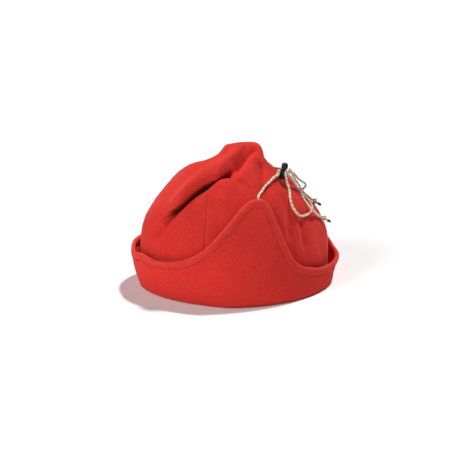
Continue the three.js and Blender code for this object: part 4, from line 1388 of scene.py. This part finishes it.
class MakeCuff(bpy.types.Operator):
    """Turn the brim up into the cuff with its two ear flaps"""

    bl_idname = "beanie.cuff"
    bl_label = "Cuff"

    def execute(self, context):
        half = sizes().cuff_cloth / MM / 2
        degrees = np.linspace(-180, 180, CUFF_COLUMNS, endpoint=False)
        middle = cuff_middle(degrees)
        normals = grid_normals(middle, True)
        up = np.linspace(0, 1, len(middle))[:, None]
        free = smooth(*CUFF_SOFT_FROM, up) * (1 - smooth(*CUFF_SOFT_UNTIL, up))
        soft = uneven(middle, CUFF_WAVES) * free
        outer = middle + normals * (half + soft)[..., None]
        inner = middle - normals * (half - soft)[..., None]
        grid = np.concatenate([outer, inner[::-1]])
        grid[..., 2] = np.maximum(grid[..., 2], 0)
        worn = np.zeros(grid.shape[:2])
        worn[CUFF_WORN_ROWS] = CUFF_WEAR
        uv = (np.linspace(0, CUFF_UV_ROUND, len(degrees) + 1), there_and_back(run_along(middle[:, 0])))
        red = finish("brushed fleece", fleece, colours().fleece)
        piece = grid_piece("cuff_fleece", grid, red, uv, attributes={"worn": worn})
        dress(piece, "fleece", "cuff")
        return {"FINISHED"}


def hem_place(degrees, distance):
    """Centre of the hem band and the directions along, out of and across it."""
    def at(d):
        where, arc = below_rim(d, distance)
        return on_cuff(where, arc), where, arc

    point, where, arc = at(degrees)
    along = unit(at(degrees + 1)[0] - at(degrees - 1)[0])
    up = on_cuff(where, arc + 1) - point
    out = unit(np.cross(along, up))
    return point, along, out, np.cross(out, along)


class MakeHem(bpy.types.Operator):
    """Turn in the hem along the cuff's edge"""

    bl_idname = "beanie.hem"
    bl_label = "Hem"

    def execute(self, context):
        degrees = np.linspace(-180, 180, HEM_COLUMNS, endpoint=False)
        point, _, out, across = hem_place(degrees, HEM_CENTRE)
        wide, thick = HEM_PROFILE["across"], HEM_PROFILE["thick"]
        wide = np.concatenate([[1], wide, [-1], wide[::-1]])[:, None, None]
        thick = np.concatenate([[0], thick, [0], -thick[::-1]])[:, None, None]
        half_width, half_thickness = sizes().hem_half_width / MM, sizes().hem_half_thickness / MM
        grid = point + out * half_thickness * thick + across * half_width * wide
        loose = smooth(*HEM_SOFT_FROM, wide)
        grid += grid_normals(grid, True) * uneven(grid, HEM_WAVES)[..., None] * loose
        worn = smooth(*HEM_WEAR, wide[..., 0]) * np.ones(len(degrees))
        v = run_along(np.vstack([grid[:, 0], grid[:1, 0]])) * MM
        uv = (np.linspace(0, HEM_UV_ROUND, len(degrees) + 1), v)
        red = finish("brushed hem", fleece, colours().hem)
        piece = grid_piece("cuff_hem_fleece", grid, red, uv, attributes={"worn": worn})
        dress(piece, "hem", "cuff_hem")
        return {"FINISHED"}


# ---- Stitches ----
def stitch_tree():
    """Geometry nodes that lay stitches along a line, upright on its 'out' direction."""
    tree = bpy.data.node_groups.new(STITCHES, "GeometryNodeTree")
    inputs = {"Geometry": "Geometry", "Pitch": "Float", "Length": "Float", "Thread": "Float",
              "Material": "Material"}
    for name, kind in inputs.items():
        tree.interface.new_socket(name, in_out="INPUT", socket_type=f"NodeSocket{kind}")
    tree.interface.new_socket("Geometry", in_out="OUTPUT", socket_type="NodeSocketGeometry")

    def node(kind, values=None, **settings):
        return add_node(tree, kind, values, **settings).outputs

    start = node("NodeGroupInput")
    curve = node("GeometryNodeMeshToCurve", {"Mesh": start["Geometry"]})["Curve"]
    spacing = {"Curve": curve, "Length": start["Pitch"]}
    places = node("GeometryNodeResampleCurve", spacing, mode="LENGTH")["Curve"]
    out = node("GeometryNodeInputNamedAttribute", {"Name": "out"}, data_type="FLOAT_VECTOR")
    way = {"Vector": node("GeometryNodeInputTangent")["Tangent"]}
    turn = node("FunctionNodeAlignEulerToVector", way, axis="X")["Rotation"]
    up = {"Rotation": turn, "Vector": out["Attribute"]}
    turn = node("FunctionNodeAlignEulerToVector", up, axis="Z", pivot_axis="X")["Rotation"]
    ball = node("GeometryNodeMeshUVSphere", {"Segments": 8, "Rings": 6, "Radius": 0.5})["Mesh"]
    thick = start["Thread"]
    size = node("ShaderNodeCombineXYZ", {"X": start["Length"], "Y": thick, "Z": thick})["Vector"]
    laid = {"Points": places, "Instance": ball, "Rotation": turn, "Scale": size}
    stitches = node("GeometryNodeInstanceOnPoints", laid)["Instances"]
    real = node("GeometryNodeRealizeInstances", {"Geometry": stitches})["Geometry"]
    paint = {"Geometry": real, "Material": start["Material"]}
    node("NodeGroupOutput", {"Geometry": node("GeometryNodeSetMaterial", paint)["Geometry"]})
    return tree


def set_input(modifier, name, value):
    for item in modifier.node_group.interface.items_tree:
        if item.item_type == "SOCKET" and item.in_out == "INPUT" and item.name == name:
            modifier[item.identifier] = value


def stitched_line(name, points, outs):
    """Stitches along a closed line of points, each lying on its outward direction."""
    count = len(points)
    mesh = bpy.data.meshes.new(name)
    mesh.from_pydata(placed(points), [(i, (i + 1) % count) for i in range(count)], [])
    attribute = mesh.attributes.new("out", "FLOAT_VECTOR", "POINT")
    attribute.data.foreach_set("vector", np.asarray(outs).ravel())
    piece = linked(name, mesh)
    modifier = piece.modifiers.new("stitches", "NODES")
    modifier.node_group = bpy.data.node_groups.get(STITCHES) or stitch_tree()
    set_input(modifier, "Pitch", sizes().stitch_pitch)
    set_input(modifier, "Length", sizes().stitch_length)
    set_input(modifier, "Thread", sizes().thread)
    set_input(modifier, "Material", finish("sewing thread", sewing_thread))
    bake_modifiers(piece)
    shade_smooth(piece.data)
    return piece


class MakeStitches(bpy.types.Operator):
    """Sew the hem down with a row of stitches"""

    bl_idname = "beanie.stitches"
    bl_label = "Stitches"

    def execute(self, context):
        degrees = np.linspace(-180, 180, STITCH_COLUMNS, endpoint=False)
        point, _, out, _ = hem_place(degrees, STITCH_BELOW)
        dress(stitched_line("hem_stitches", point + out * STITCH_OUT, out), "hem")
        return {"FINISHED"}


# ---- Floor and light ----
class MakeStage(bpy.types.Operator):
    """Set the pale floor and the soft studio light"""

    bl_idname = "beanie.stage"
    bl_label = "Stage"

    def execute(self, context):
        scene = context.scene
        mesh = bpy.data.meshes.new("floor")
        corners = [(-1, -1), (1, -1), (1, 1), (-1, 1)]
        corners = [(x * FLOOR_REACH, y * FLOOR_REACH, -FLOOR_DROP) for x, y in corners]
        mesh.from_pydata(corners, [], [(0, 1, 2, 3)])
        mesh.materials.append(finish("floor", floor_paint))
        linked("floor", mesh)
        world = bpy.data.worlds.new("studio")
        scene.world = world
        world.use_nodes = True
        sky = world.node_tree.nodes["Background"]
        sky.inputs["Color"].default_value = (1, 1, 1, 1)
        sky.inputs["Strength"].default_value = WORLD_LIGHT
        right, up, back = view_axes(scene.beanie_stage.azimuth)
        for name, (near, above, aside, spread, strength) in SUNS.items():
            where = back * near + up * above + right * aside
            data = bpy.data.lights.new(name, "SUN")
            data.angle = spread * DEG
            data.energy = strength
            lamp = linked(name, data)
            lamp.location = where
            lamp.rotation_euler = where.to_track_quat("Z", "Y").to_euler()
        scene.view_settings.view_transform = "Standard"
        return {"FINISHED"}


class BeaniePanel(bpy.types.Panel):
    bl_idname = "VIEW3D_PT_beanie"
    bl_label = "Beanie"
    bl_space_type = "VIEW_3D"
    bl_region_type = "UI"
    bl_category = "Beanie"

    def draw(self, context):
        layout = self.layout
        scene = context.scene
        for group in (scene.beanie_sizes, scene.beanie_colours, scene.beanie_stage):
            box = layout.box()
            for key in group.bl_rna.properties.keys():
                if key not in ("rna_type", "name"):
                    box.prop(group, key)
        for maker in MAKERS:
            layout.operator(maker.bl_idname)


MAKERS = (
    MakeCamera, MakeCords, MakeCordEnds, MakeCordLock, MakeCrown, MakeCuff, MakeHem, MakeStitches, MakeStage,
)
CLASSES = (BeanieSizes, BeanieColours, BeanieStage, *MAKERS, BeaniePanel)


def register():
    for item in CLASSES:
        bpy.utils.register_class(item)
    bpy.types.Scene.beanie_sizes = bpy.props.PointerProperty(type=BeanieSizes)
    bpy.types.Scene.beanie_colours = bpy.props.PointerProperty(type=BeanieColours)
    bpy.types.Scene.beanie_stage = bpy.props.PointerProperty(type=BeanieStage)


def unregister():
    for key in ("beanie_sizes", "beanie_colours", "beanie_stage"):
        delattr(bpy.types.Scene, key)
    for item in reversed(CLASSES):
        bpy.utils.unregister_class(item)


def main():
    register()
    for maker in MAKERS:
        group, action = maker.bl_idname.split(".")
        getattr(getattr(bpy.ops, group), action)()


if __name__ == "__main__":
    main()
